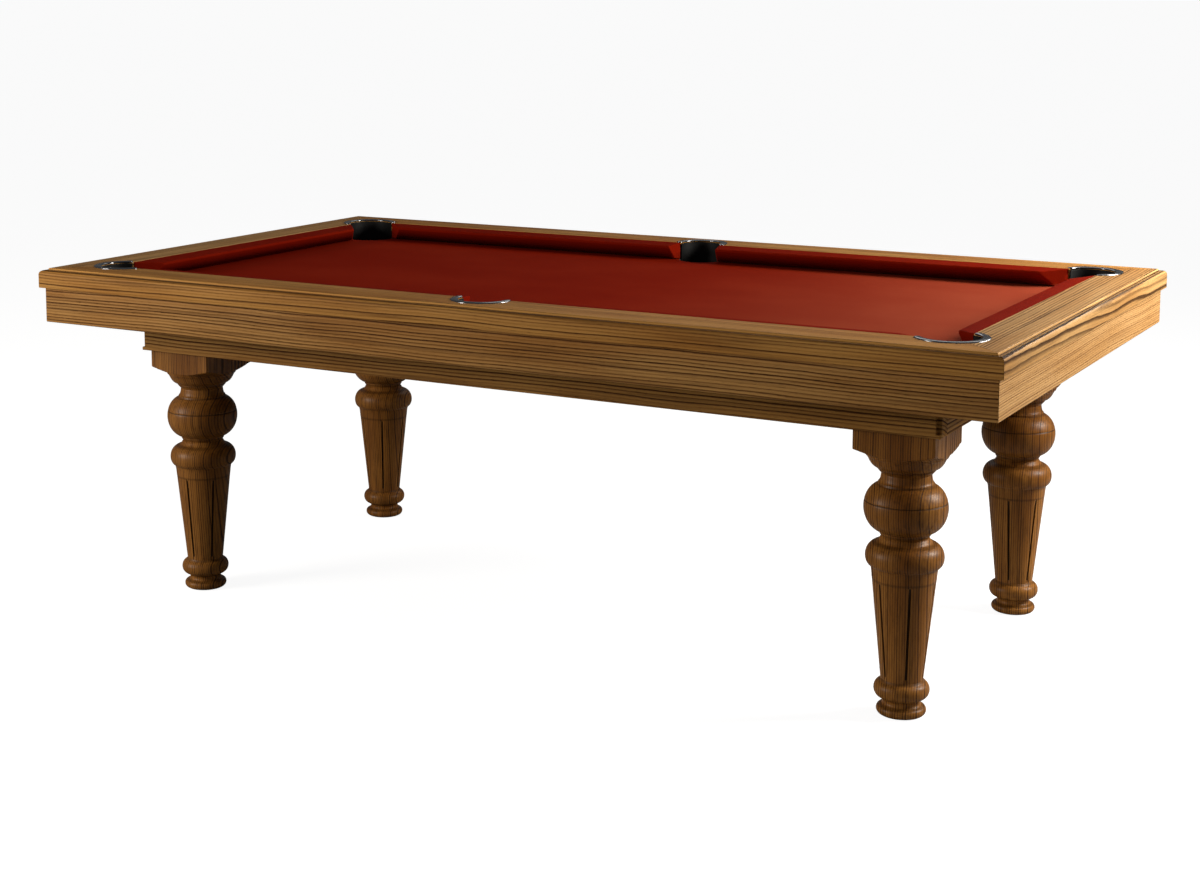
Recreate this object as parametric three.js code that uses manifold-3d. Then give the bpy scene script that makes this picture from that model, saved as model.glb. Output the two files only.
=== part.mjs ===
// A slate-bed pool table on four turned and fluted oak legs.
// Millimetres. +X runs along the table, +Y across it to the back, +Z up.
// The origin is on the floor under the middle of the table.
import * as THREE from 'three';
import { mergeVertices } from 'three/addons/utils/BufferGeometryUtils.js';
import Module from 'manifold-3d';

const wasm = await Module();
wasm.setup();

// ---- Playing field and rails, in plan ----
const PLAY_LENGTH = 1980;
const PLAY_WIDTH = 990;
const CUSHION_REACH = 48; // from the rail's inner edge to the cushion's nose
const RAIL_WIDTH = 118;
const TABLE_LENGTH = PLAY_LENGTH + 2 * (CUSHION_REACH + RAIL_WIDTH);
const TABLE_WIDTH = PLAY_WIDTH + 2 * (CUSHION_REACH + RAIL_WIDTH);

// ---- Heights, stacked from the floor up ----
const SEAM = 0.3; // air between two pieces that touch
const LEG_HEIGHT = 593.7;
const FRAME_DEPTH = 141;
const SLATE_THICKNESS = 20.9;
const CLOTH = 1;
const RAIL_RISE = 42.5; // rail top above the bed
const NOSE_RISE = 37.5; // top of the cushion's nose above the bed
const CAP_DEPTH = 46;
const APRON_DEPTH = 81.7;

const frameBottom = LEG_HEIGHT + SEAM;
const frameTop = frameBottom + FRAME_DEPTH;
const slateBottom = frameTop + SEAM;
const slateTop = slateBottom + SLATE_THICKNESS;
const clothBottom = slateTop + SEAM;
const bed = clothBottom + CLOTH;
const railTop = bed + RAIL_RISE;
const noseTop = bed + NOSE_RISE;
const capBottom = railTop - CAP_DEPTH;
const apronTop = capBottom - SEAM;
const apronBottom = apronTop - APRON_DEPTH;

// ---- Rail sections. s runs inward from the rail's outer face ----
const CAP_ROUND = 9.5; // quarter round on the outer edge
const CAP_STEP_IN = 16;
const CAP_STEP_DOWN = 4.5;
const CAP_PLATE = 24; // thickness over the backer
const CAP_DROP_WIDTH = 66; // width of the deep outer part
const SLATE_INSET = 72; // slate edge from the rail's outer face
const BACKER_FOOT = 10; // backer's reach past the rail's inner edge, at its foot
const BACKER_HEAD = 16; // and at its head
const NOSE_FLAT = 4; // height of the nose's upright face
const TOE_REACH = 24; // how far the cushion's undercut goes back to
const TOE_RISE = 3;
const APRON_SET_BACK = 11;
const APRON_THICKNESS = 22;

// ---- Pockets ----
const CORNER_RADIUS = 58; // inside of a corner pocket's cup
const CORNER_TUCK = 27; // centre's distance from both inner rail edges, towards the bed
const SIDE_RADIUS = 52;
const SIDE_TUCK = -8; // a side pocket's centre lies outside the inner rail edge
const CORNER_MOUTH = 127; // nose to nose
const SIDE_MOUTH = 130;
const CUP_WALL = 3;
const CUP_DEPTH = 78; // below the bed
const CUP_FIT = 0.6; // air round a cup
const IRON_WIDTH = 15;
const IRON_SWELL = 3; // extra width at the crown, less at the tips
const IRON_THICKNESS = 5.5;
const IRON_SINK = 3; // how deep an iron is let into the rail

// ---- Frame ----
const FRAME_INSET = 168; // frame's faces from the rail's outer faces
const BEAM_THICKNESS = 40;
const CORNER_NOTCH = [9, 8];
const FRAME_LIP = 8; // the notch stops this far above the frame's bottom
const SLATE_JOINT = 363; // slate joints from the middle
const CROSS_BEAM = { width: 60, depth: 100 };

// ---- Legs ----
const LEG_BLOCK = 169; // square block at the top
const LEG_INSET = 14.5; // block's faces from the frame's faces
const LEG_SIDES = 16;
const FLUTES = 6;
const FLUTE_WIDTH = 5;
const FLUTE_DEPTH = 4;
const FLUTE_MARGIN = 8; // from the flute's end to the shaft's lower end
const SHAFT_FOOT = { r: 42.7, z: 75 };
const SHAFT_HEAD = { r: 64, drop: 313 }; // drop is measured down from the leg's top

// ---- Levelling feet ----
const PAD = { radius: 20, thickness: 6, rise: 0.5 };
const SCREW = { radius: 6, length: 62, hex: 9, hexHeight: 5 };
const RECESS = { radius: 22, depth: 14 };
const BORE = { radius: 6.4, depth: 78 };

// ---- Materials ----
const oak = () => new THREE.MeshStandardMaterial({ color: 0x8a5a2b, roughness: 0.55 });
const frameWood = () => new THREE.MeshStandardMaterial({ color: 0x7a4f27, roughness: 0.6 });
const backerWood = () => new THREE.MeshStandardMaterial({ color: 0xb08a5a, roughness: 0.8 });
const slateStone = () => new THREE.MeshStandardMaterial({ color: 0x4b4f52, roughness: 0.7 });
const redCloth = () => new THREE.MeshStandardMaterial({ color: 0x8e2f1a, roughness: 0.95 });
const rubber = () => new THREE.MeshStandardMaterial({ color: 0x2a2522, roughness: 0.8 });
const darkSteel = () =>
  new THREE.MeshStandardMaterial({ color: 0x5a5d60, roughness: 0.25, metalness: 1 });
const blackPlastic = () => new THREE.MeshStandardMaterial({ color: 0x0c0c0c, roughness: 0.5 });
const zincSteel = () =>
  new THREE.MeshStandardMaterial({ color: 0xa9adb0, roughness: 0.35, metalness: 1 });

const table = new THREE.Group();

function addPiece(name, geometry, material, parent = table) {
  const mesh = new THREE.Mesh(geometry, material);
  mesh.name = name;
  parent.add(mesh);
  return mesh;
}

// ---- Cutting ----
function toSolid(geometry) {
  const bare = geometry.clone();
  bare.deleteAttribute('normal');
  bare.deleteAttribute('uv');
  const merged = mergeVertices(bare, 1e-4);
  return new wasm.Manifold(
    new wasm.Mesh({
      numProp: 3,
      vertProperties: new Float32Array(merged.attributes.position.array),
      triVerts: new Uint32Array(merged.index.array),
    }),
  );
}

function toGeometry(solid) {
  const mesh = solid.getMesh();
  const geometry = new THREE.BufferGeometry();
  geometry.setAttribute('position', new THREE.BufferAttribute(mesh.vertProperties, 3));
  geometry.setIndex(new THREE.BufferAttribute(mesh.triVerts, 1));
  geometry.computeVertexNormals();
  return geometry;
}

function cut(geometry, cutters) {
  let solid = toSolid(geometry);
  for (const cutter of cutters) {
    solid = solid.subtract(toSolid(cutter));
  }
  return toGeometry(solid);
}

// ---- Simple solids ----
function outline(points) {
  return new THREE.Shape(points.map(([x, y]) => new THREE.Vector2(x, y)));
}

function slab(shape, low, high, curveSegments = 12) {
  const options = { depth: high - low, bevelEnabled: false, curveSegments };
  return new THREE.ExtrudeGeometry(shape, options).translate(0, 0, low);
}

function block(x, y, z) {
  const [dx, dy, dz] = [x, y, z].map(([low, high]) => high - low);
  const middle = [x, y, z].map(([low, high]) => (low + high) / 2);
  return new THREE.BoxGeometry(dx, dy, dz).translate(...middle);
}

// ---- Sides of the table: local x runs along a rail, local y inward ----
const SIDES = {
  front: { span: TABLE_LENGTH, turn: 0, x: 0, y: -TABLE_WIDTH / 2 },
  right: { span: TABLE_WIDTH, turn: Math.PI / 2, x: TABLE_LENGTH / 2, y: 0 },
  back: { span: TABLE_LENGTH, turn: Math.PI, x: 0, y: TABLE_WIDTH / 2 },
  left: { span: TABLE_WIDTH, turn: -Math.PI / 2, x: -TABLE_LENGTH / 2, y: 0 },
};
for (const side of Object.values(SIDES)) {
  side.group = new THREE.Group();
  side.group.rotation.z = side.turn;
  side.group.position.set(side.x, side.y, 0);
  table.add(side.group);
}

// A straight bar of a given section. Its ends are slanted in plan: each is a function of s.
function railBar(section, startAt, endAt) {
  const options = { depth: 1, bevelEnabled: false, curveSegments: 4 };
  const geometry = new THREE.ExtrudeGeometry(section, options);
  const alongX = new THREE.Matrix4().makeBasis(
    new THREE.Vector3(0, 1, 0),
    new THREE.Vector3(0, 0, 1),
    new THREE.Vector3(1, 0, 0),
  );
  geometry.applyMatrix4(alongX);
  const position = geometry.attributes.position;
  for (let i = 0; i < position.count; i += 1) {
    const s = position.getY(i);
    position.setX(i, position.getX(i) < 0.5 ? startAt(s) : endAt(s));
  }
  return geometry;
}

// Mitred at 45 degrees at both ends, with half a seam taken off each.
function mitred(section, span) {
  const reach = (s) => span / 2 - s - SEAM * Math.SQRT1_2;
  return railBar(section, (s) => -reach(s), reach);
}

// ---- Pocket outlines, each in a frame centred on the pocket with +X pointing outward ----
const POCKETS = {
  corner: {
    radius: CORNER_RADIUS,
    tuck: CORNER_TUCK,
    splay: Math.PI / 4, // from the outward axis to the square of either rail
  },
  side: { radius: SIDE_RADIUS, tuck: SIDE_TUCK, splay: 0 },
};

const outerRadius = (pocket) => pocket.radius + CUP_WALL;
const holeRadius = (pocket) => outerRadius(pocket) + CUP_FIT;

// The angle at which a circle round the pocket reaches the rail's inner edge.
const rimAngle = (pocket, radius) => pocket.splay + Math.acos(pocket.tuck / radius);

// An iron's outline, or with some air to spare the seat it lies in, which runs on past its tips.
function ironOutline(pocket, spare) {
  const inner = pocket.radius - spare;
  const outer = pocket.radius + IRON_WIDTH + spare;
  const pastTips = (8 * spare) / inner;
  const innerEnd = rimAngle(pocket, inner) + pastTips;
  const outerEnd = rimAngle(pocket, outer - IRON_SWELL) + pastTips;
  const shape = new THREE.Shape();
  shape.absarc(IRON_SWELL, 0, outer, -outerEnd, outerEnd, false);
  shape.absarc(0, 0, inner, innerEnd, -innerEnd, true);
  return shape;
}

// The hole through slate and bed cloth: round towards the bed, open outward.
function throatOutline(pocket) {
  const radius = holeRadius(pocket);
  const shape = new THREE.Shape();
  shape.absarc(0, 0, radius, Math.PI / 2, 1.5 * Math.PI, false);
  shape.lineTo(4 * radius, -radius);
  shape.lineTo(4 * radius, radius);
  return shape;
}

// The part of the pocket's surroundings that lies inside the rails' inner edges.
function mouthOutline(pocket) {
  const far = 5 * pocket.radius;
  if (pocket.splay === 0) {
    const edge = pocket.tuck + SEAM;
    return outline([[edge, far], [-far, far], [-far, -far], [edge, -far]]);
  }
  const apex = pocket.tuck * Math.SQRT2 + SEAM;
  return outline([[apex, 0], [apex - far, far], [apex - far, -far]]);
}

function pocketHole(pocket, low, high, spare = 0) {
  return slab(new THREE.Shape().absarc(0, 0, holeRadius(pocket) + spare, 0, 2 * Math.PI), low, high);
}

// Where the pockets are, in table coordinates; turn points their +X outward.
const cornerX = TABLE_LENGTH / 2 - RAIL_WIDTH - CORNER_TUCK;
const cornerY = TABLE_WIDTH / 2 - RAIL_WIDTH - CORNER_TUCK;
const sideY = TABLE_WIDTH / 2 - RAIL_WIDTH - SIDE_TUCK;
const PLACES = {
  front_left: { pocket: POCKETS.corner, x: -cornerX, y: -cornerY, turn: -0.75 * Math.PI },
  front_middle: { pocket: POCKETS.side, x: 0, y: -sideY, turn: -0.5 * Math.PI },
  front_right: { pocket: POCKETS.corner, x: cornerX, y: -cornerY, turn: -0.25 * Math.PI },
  back_left: { pocket: POCKETS.corner, x: -cornerX, y: cornerY, turn: 0.75 * Math.PI },
  back_middle: { pocket: POCKETS.side, x: 0, y: sideY, turn: 0.5 * Math.PI },
  back_right: { pocket: POCKETS.corner, x: cornerX, y: cornerY, turn: 0.25 * Math.PI },
};

const placed = (geometry, place) => geometry.rotateZ(place.turn).translate(place.x, place.y, 0);

// A cutter for every pocket, made by the given function.
const atEveryPocket = (make) =>
  Object.values(PLACES).map((place) => placed(make(place.pocket), place));

// The same cutters, moved into the frame of one side of the table.
function inSideFrame(side, cutters) {
  side.group.updateMatrixWorld(true);
  const back = side.group.matrixWorld.clone().invert();
  return cutters.map((cutter) => cutter.applyMatrix4(back));
}

// ---- Top rails and aprons ----
function capSection() {
  const shape = new THREE.Shape();
  const shoulder = railTop - CAP_STEP_DOWN;
  shape.moveTo(0, capBottom);
  shape.lineTo(CAP_DROP_WIDTH, capBottom);
  shape.lineTo(CAP_DROP_WIDTH, railTop - CAP_PLATE);
  shape.lineTo(RAIL_WIDTH, railTop - CAP_PLATE);
  shape.lineTo(RAIL_WIDTH, railTop);
  shape.lineTo(CAP_STEP_IN, railTop);
  shape.lineTo(CAP_STEP_IN, shoulder);
  shape.absarc(CAP_ROUND, shoulder - CAP_ROUND, CAP_ROUND, Math.PI / 2, Math.PI, false);
  return shape;
}

function apronSection() {
  const inner = APRON_SET_BACK + APRON_THICKNESS;
  return outline([
    [APRON_SET_BACK, apronBottom],
    [inner, apronBottom],
    [inner, apronTop],
    [APRON_SET_BACK, apronTop],
  ]);
}

function addRailsAndAprons() {
  for (const [name, side] of Object.entries(SIDES)) {
    const holes = atEveryPocket((pocket) => pocketHole(pocket, capBottom - 1, railTop + 1));
    const seats = atEveryPocket((pocket) =>
      slab(ironOutline(pocket, SEAM), railTop - IRON_SINK, railTop + 1),
    );
    const cap = cut(mitred(capSection(), side.span), inSideFrame(side, [...holes, ...seats]));
    addPiece(`top_rail_${name}`, cap, oak(), side.group);
    addPiece(`apron_${name}`, mitred(apronSection(), side.span), oak(), side.group);
  }
}

// ---- Cushions ----
const nose = RAIL_WIDTH + CUSHION_REACH;
const underCloth = CLOTH + SEAM;
const topEdge = RAIL_WIDTH + SEAM;

// The cushion's face, a given depth under the cloth's surface, from the rail down to the toe.
function cushionFace(depth) {
  return [
    [topEdge, railTop - 0.5 - depth],
    [nose - 2 - 0.4 * depth, noseTop - depth],
    [nose - depth, noseTop - 2 - 0.4 * depth],
    [nose - depth, noseTop - 2 - NOSE_FLAT + 0.4 * depth],
    [RAIL_WIDTH + TOE_REACH - depth, bed + TOE_RISE + 0.3 * depth],
  ];
}

// The height of the cushion's sloping top at s.
function faceTopAt(s, depth) {
  const [[s0, z0], [s1, z1]] = cushionFace(depth);
  return z0 + ((s - s0) / (s1 - s0)) * (z1 - z0);
}

const backerFoot = RAIL_WIDTH + BACKER_FOOT;
const backerHead = RAIL_WIDTH + BACKER_HEAD;

function backerSection() {
  const low = bed + SEAM;
  const shelf = railTop - CAP_PLATE - SEAM;
  const lip = topEdge + SEAM;
  return outline([
    [SLATE_INSET, low],
    [backerFoot, low],
    [backerHead, faceTopAt(backerHead, underCloth)],
    [lip, faceTopAt(lip, underCloth)],
    [lip, shelf],
    [SLATE_INSET, shelf],
  ]);
}

function rubberSection() {
  const [, ...face] = cushionFace(underCloth);
  const head = backerHead + SEAM;
  const foot = backerFoot + 2 * SEAM;
  const toe = face[face.length - 1];
  return outline([[head, faceTopAt(head, underCloth)], ...face, [foot, toe[1]]]);
}

function clothSection() {
  return outline([...cushionFace(0), ...cushionFace(CLOTH).reverse()]);
}

// Where a circle round a pocket meets the rail's inner edge, measured along the rail.
const rimReach = (pocket) => Math.sqrt(holeRadius(pocket) ** 2 - pocket.tuck ** 2);

// A cushion's slanted end: from the nose at noseAt to the rail's inner edge at rimAt.
const facing = (noseAt, rimAt) => (s) =>
  noseAt + ((rimAt - noseAt) * (nose - s)) / CUSHION_REACH;

function cornerFacing(span) {
  const noseAt = span / 2 - nose - CORNER_MOUTH * Math.SQRT1_2;
  const rimAt = span / 2 - RAIL_WIDTH - CORNER_TUCK - rimReach(POCKETS.corner);
  return facing(noseAt, rimAt);
}

const sideFacing = facing(SIDE_MOUTH / 2, rimReach(POCKETS.side));

function addCushion(name, group, start, end, backerStart, backerEnd) {
  const backer = railBar(backerSection(), () => backerStart, () => backerEnd);
  addPiece(`cushion_backer_${name}`, backer, backerWood(), group);
  addPiece(`cushion_rubber_${name}`, railBar(rubberSection(), start, end), rubber(), group);
  addPiece(`cushion_cloth_${name}`, railBar(clothSection(), start, end), redCloth(), group);
}

const mirrored = (facingAt) => (s) => -facingAt(s);

function addCushions() {
  const backerGap = 2 * SEAM;
  const cornerStop = (span) =>
    span / 2 - RAIL_WIDTH - CORNER_TUCK - holeRadius(POCKETS.corner) - backerGap;
  const sideStop = holeRadius(POCKETS.side) + backerGap;
  for (const [name, direction] of [['front', 1], ['back', -1]]) {
    const { group, span } = SIDES[name];
    const far = cornerFacing(span);
    const stop = cornerStop(span);
    const [low, high] = direction > 0 ? ['left', 'right'] : ['right', 'left'];
    addCushion(`${name}_${high}`, group, sideFacing, far, sideStop, stop);
    addCushion(`${name}_${low}`, group, mirrored(far), mirrored(sideFacing), -stop, -sideStop);
  }
  for (const name of ['left', 'right']) {
    const { group, span } = SIDES[name];
    const far = cornerFacing(span);
    addCushion(`${name}_end`, group, mirrored(far), far, -cornerStop(span), cornerStop(span));
  }
}

// ---- Slates and bed cloth ----
function addBed() {
  const x = TABLE_LENGTH / 2 - SLATE_INSET;
  const y = TABLE_WIDTH / 2 - SLATE_INSET;
  const throats = (low, high) => atEveryPocket((pocket) => slab(throatOutline(pocket), low, high));
  const slates = {
    slate_left: [-x, -SLATE_JOINT - SEAM / 2],
    slate_centre: [-SLATE_JOINT + SEAM / 2, SLATE_JOINT - SEAM / 2],
    slate_right: [SLATE_JOINT + SEAM / 2, x],
  };
  for (const [name, reach] of Object.entries(slates)) {
    const body = block(reach, [-y, y], [slateBottom, slateTop]);
    addPiece(name, cut(body, throats(slateBottom - 1, slateTop + 1)), slateStone());
  }
  const sheet = block([-x, x], [-y, y], [clothBottom, bed]);
  addPiece('bed_cloth', cut(sheet, throats(clothBottom - 1, bed + 1)), redCloth());
}

// ---- Pocket irons and cups ----
const cupTop = railTop - IRON_SINK;
const cupBottom = bed - CUP_DEPTH;

function cupGeometry(pocket) {
  const profile = [
    [0, cupBottom],
    [outerRadius(pocket), cupBottom],
    [outerRadius(pocket), cupTop],
    [pocket.radius, cupTop],
    [pocket.radius, cupBottom + CUP_WALL],
    [0, cupBottom + CUP_WALL],
  ].map(([r, z]) => new THREE.Vector2(r, z));
  const cup = new THREE.LatheGeometry(profile, 24).rotateX(Math.PI / 2);
  return cut(cup, [slab(mouthOutline(pocket), slateTop, railTop + 1)]);
}

function addPockets() {
  for (const [name, place] of Object.entries(PLACES)) {
    const group = new THREE.Group();
    group.rotation.z = place.turn;
    group.position.set(place.x, place.y, 0);
    table.add(group);
    const low = cupTop + SEAM;
    const iron = slab(ironOutline(place.pocket, 0), low, low + IRON_THICKNESS);
    addPiece(`pocket_iron_${name}`, iron, darkSteel(), group);
    addPiece(`pocket_cup_${name}`, cupGeometry(place.pocket), blackPlastic(), group);
  }
}

// ---- Underframe ----
function addFrame() {
  const x = TABLE_LENGTH / 2 - FRAME_INSET;
  const y = TABLE_WIDTH / 2 - FRAME_INSET;
  const [notchX, notchY] = CORNER_NOTCH;
  const height = [frameBottom, frameTop];
  const wells = () => atEveryPocket((p) => pocketHole(p, cupBottom - 3, frameTop + 1, 2));
  for (const [name, sign] of [['front', -1], ['back', 1]]) {
    const reach = [sign * (y - BEAM_THICKNESS), sign * y].sort((a, b) => a - b);
    const notches = [-1, 1].map((end) => {
      const alongX = [end * (x - notchX), end * (x + 1)].sort((a, b) => a - b);
      const alongY = [sign * (y - notchY), sign * (y + 1)].sort((a, b) => a - b);
      return block(alongX, alongY, [frameBottom + FRAME_LIP, frameTop + 1]);
    });
    const beam = cut(block([-x, x], reach, height), [...notches, ...wells()]);
    addPiece(`frame_beam_${name}`, beam, frameWood());
  }
  const inside = y - BEAM_THICKNESS - SEAM;
  for (const [name, sign] of [['left', -1], ['right', 1]]) {
    const reach = [sign * (x - BEAM_THICKNESS), sign * x].sort((a, b) => a - b);
    const beam = cut(block(reach, [-inside, inside], height), wells());
    addPiece(`frame_beam_${name}`, beam, frameWood());
    const half = CROSS_BEAM.width / 2;
    const middle = sign * SLATE_JOINT;
    const low = frameTop - CROSS_BEAM.depth;
    const cross = block([middle - half, middle + half], [-inside, inside], [low, frameTop]);
    addPiece(`frame_cross_beam_${name}`, cross, backerWood());
  }
}

// ---- Legs ----
// A turned stretch from the path's last point to (r, z), through the radius swell halfway.
function turn(path, r, z, swell) {
  const { x: r0, y: z0 } = path.currentPoint;
  const pull = (8 * swell - r0 - r) / 6;
  const ease = 0.15 * (z - z0);
  path.bezierCurveTo(pull, z0 + ease, pull, z - ease, r, z);
}

function legProfile() {
  const path = new THREE.Path();
  const top = LEG_HEIGHT;
  path.moveTo(0, 0);
  path.lineTo(40, 0);
  turn(path, 44, 20, 50); // foot bead
  turn(path, 44, 36, 37); // neck
  turn(path, 46, 70, 56); // base torus
  path.lineTo(44.5, 72);
  path.lineTo(SHAFT_FOOT.r, SHAFT_FOOT.z);
  path.lineTo(SHAFT_HEAD.r, top - SHAFT_HEAD.drop);
  turn(path, 69, top - 286, 65.5); // cove over the shaft
  turn(path, 60, top - 238, 78.5); // shoulder
  turn(path, 47, top - 226, 51.5); // cove
  path.lineTo(51, top - 220);
  path.lineTo(51.5, top - 216);
  turn(path, 57, top - 119, 84); // ball
  path.lineTo(56, top - 115);
  turn(path, 50, top - 97, 51.5); // neck under the capital
  path.lineTo(58, top - 88);
  path.lineTo(58, top - 85);
  turn(path, 82, top - 60, 74); // capital
  path.lineTo(84, top - 55);
  path.lineTo(LEG_BLOCK * Math.SQRT1_2 + 2, top - 40);
  path.lineTo(LEG_BLOCK * Math.SQRT1_2 + 2, top);
  path.lineTo(0, top);
  return path.getPoints(4);
}

// Slots with round ends that follow the tapered shaft.
function fluteCutters() {
  const rise = LEG_HEIGHT - SHAFT_HEAD.drop - SHAFT_FOOT.z;
  const spread = SHAFT_HEAD.r - SHAFT_FOOT.r;
  const length = Math.hypot(rise, spread);
  const half = FLUTE_WIDTH / 2;
  const shape = new THREE.Shape();
  shape.absarc(0, FLUTE_MARGIN + half, half, Math.PI, 2 * Math.PI, false);
  shape.absarc(0, length + half, half, 0, Math.PI, false);
  return Array.from({ length: FLUTES }, (_, index) =>
    slab(shape, -FLUTE_DEPTH, 4 * FLUTE_DEPTH, 3)
      .rotateX(Math.PI / 2 + Math.atan2(spread, rise))
      .translate(0, -SHAFT_FOOT.r, SHAFT_FOOT.z)
      .rotateZ((2 * Math.PI * index) / FLUTES),
  );
}

function legGeometry() {
  const blank = new THREE.LatheGeometry(legProfile(), LEG_SIDES).rotateX(Math.PI / 2);
  const half = LEG_BLOCK / 2;
  const squared = toSolid(blank).intersect(
    toSolid(block([-half, half], [-half, half], [-1, LEG_HEIGHT + 1])),
  );
  const recess = new THREE.CylinderGeometry(RECESS.radius, RECESS.radius, 2 * RECESS.depth, 16);
  const bore = new THREE.CylinderGeometry(BORE.radius, BORE.radius, 2 * BORE.depth, 12);
  const cutters = [recess, bore].map((hole) => hole.rotateX(Math.PI / 2));
  return cut(toGeometry(squared), [...cutters, ...fluteCutters()]);
}

function padGeometry() {
  const { radius, thickness } = PAD;
  const profile = [
    [0, 0],
    [radius, 0],
    [radius, 0.6 * thickness],
    [0.6 * radius, thickness],
    [0, thickness],
  ].map(([r, z]) => new THREE.Vector2(r, z));
  return new THREE.LatheGeometry(profile, 16).rotateX(Math.PI / 2).translate(0, 0, PAD.rise);
}

function screwGeometry() {
  const low = PAD.rise + PAD.thickness + SEAM;
  const hex = new THREE.CylinderGeometry(SCREW.hex, SCREW.hex, SCREW.hexHeight, 6);
  const shank = new THREE.CylinderGeometry(SCREW.radius, SCREW.radius, SCREW.length, 12);
  hex.rotateX(Math.PI / 2).translate(0, 0, low + SCREW.hexHeight / 2);
  shank.rotateX(Math.PI / 2).translate(0, 0, low + SCREW.length / 2);
  return toGeometry(toSolid(hex).add(toSolid(shank)));
}

function addLegs() {
  const x = TABLE_LENGTH / 2 - FRAME_INSET - LEG_INSET - LEG_BLOCK / 2;
  const y = TABLE_WIDTH / 2 - FRAME_INSET - LEG_INSET - LEG_BLOCK / 2;
  const leg = legGeometry();
  const corners = {
    front_left: [-x, -y, 0],
    front_right: [x, -y, Math.PI / 2],
    back_right: [x, y, Math.PI],
    back_left: [-x, y, 1.5 * Math.PI],
  };
  for (const [name, [legX, legY, turned]] of Object.entries(corners)) {
    const group = new THREE.Group();
    group.position.set(legX, legY, 0);
    group.rotation.z = turned;
    table.add(group);
    addPiece(`leg_${name}`, leg, oak(), group);
    addPiece(`leveller_pad_${name}`, padGeometry(), blackPlastic(), group);
    addPiece(`leveller_screw_${name}`, screwGeometry(), zincSteel(), group);
  }
}

addLegs();
addFrame();
addBed();
addRailsAndAprons();
addCushions();
addPockets();

export default table;
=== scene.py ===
"""Finished look of a free-standing slate pool table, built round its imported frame.

Lengths are metres in the table's own frame: the origin is on the floor under the middle of the
table, +X runs along it to the right, +Y to the back and +Z up.
"""

import logging
import math
from collections.abc import Callable
from dataclasses import dataclass
from enum import Enum

import bmesh
import bpy
import numpy as np
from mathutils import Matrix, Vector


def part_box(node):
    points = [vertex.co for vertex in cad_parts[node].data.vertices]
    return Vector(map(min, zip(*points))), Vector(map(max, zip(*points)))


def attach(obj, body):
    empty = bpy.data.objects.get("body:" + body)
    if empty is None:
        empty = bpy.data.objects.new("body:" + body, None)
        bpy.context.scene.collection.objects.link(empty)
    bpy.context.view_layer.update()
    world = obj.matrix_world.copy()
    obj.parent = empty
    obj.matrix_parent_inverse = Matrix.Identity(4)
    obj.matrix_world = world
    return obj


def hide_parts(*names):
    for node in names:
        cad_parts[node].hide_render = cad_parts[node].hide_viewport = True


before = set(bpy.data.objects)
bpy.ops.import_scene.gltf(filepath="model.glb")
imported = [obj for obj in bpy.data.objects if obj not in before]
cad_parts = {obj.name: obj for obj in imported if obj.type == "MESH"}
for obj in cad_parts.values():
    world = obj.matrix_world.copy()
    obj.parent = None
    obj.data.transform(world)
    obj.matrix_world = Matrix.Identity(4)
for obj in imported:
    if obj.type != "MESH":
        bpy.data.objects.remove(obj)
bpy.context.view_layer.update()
LOG = logging.getLogger("pool_table")

LENGTH = 2.312  # outside, along X
WIDTH = 1.322  # outside, along Y
RAIL_WIDTH = 0.118
CUSHION_WIDTH = 0.048  # from the rail's inner edge to the nose line
BED = 0.7575  # top of the bed cloth
GAP = 0.00015  # half the seam between two mitred boards
WELD = 0.000002  # points closer than this are one

Colour = tuple[float, float, float]
Numbers = np.ndarray | float


def metres(*millimetres: float) -> np.ndarray:
    """Millimetres as an array of metres."""
    return np.array(millimetres, float) / 1000.0


def ease(t: np.ndarray) -> np.ndarray:
    """Smooth step: 3t^2 - 2t^3 with t held between 0 and 1."""
    t = np.clip(t, 0.0, 1.0)
    return t * t * (3.0 - 2.0 * t)


def polar(x: float, y: float, radius: Numbers, angle: Numbers, z: Numbers) -> np.ndarray:
    """Polar coordinates about the upright axis at (x, y), with x, y and z in the last axis."""
    radius, angle, z = np.broadcast_arrays(radius, angle, z)
    return np.stack([x + radius * np.cos(angle), y + radius * np.sin(angle), z], axis=-1)


def middle_of(node: str) -> Colour:
    """The middle of a frame node's box."""
    return tuple((low + high) / 2 for low, high in zip(*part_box(node)))


# ---- Places round the table ----
class Side(Enum):
    """A side of the table, with the turn in degrees that carries the front onto it."""

    FRONT = 0
    RIGHT = 90
    BACK = 180
    LEFT = 270

    @property
    def word(self) -> str:
        """The side's name as the node names spell it."""
        return self.name.lower()

    @property
    def long(self) -> bool:
        """Whether the side runs along X."""
        return self in (Side.FRONT, Side.BACK)

    @property
    def half(self) -> float:
        """Half the table's outside length along this side."""
        return (LENGTH if self.long else WIDTH) / 2

    @property
    def grain(self) -> "Grain":
        """The grain of a board that runs along this side."""
        return Grain.X if self.long else Grain.Y

    def place(self, along: Numbers, inward: Numbers, z: Numbers) -> np.ndarray:
        """Puts side coordinates into the table's frame.

        The point is the side's outer middle plus along times the side's direction plus inward
        times the direction to the table's middle.

        Args:
            along: distance along the side from its middle, to the right as seen from outside.
            inward: distance inward from the outer face.
            z: height above the floor.

        Returns:
            The points, with x, y and z in the last axis.
        """
        turn = math.radians(self.value)
        c, s = round(math.cos(turn)), round(math.sin(turn))
        across = inward - (WIDTH if self.long else LENGTH) / 2
        along, across, z = np.broadcast_arrays(along, across, z)
        return np.stack([c * along - s * across, s * along + c * across, z], axis=-1)


class Grain(Enum):
    """The axis a board's grain runs along, as (along, across, deep) axis numbers."""

    X = (0, 1, 2)
    Y = (1, 0, 2)
    Z = (2, 0, 1)


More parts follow.
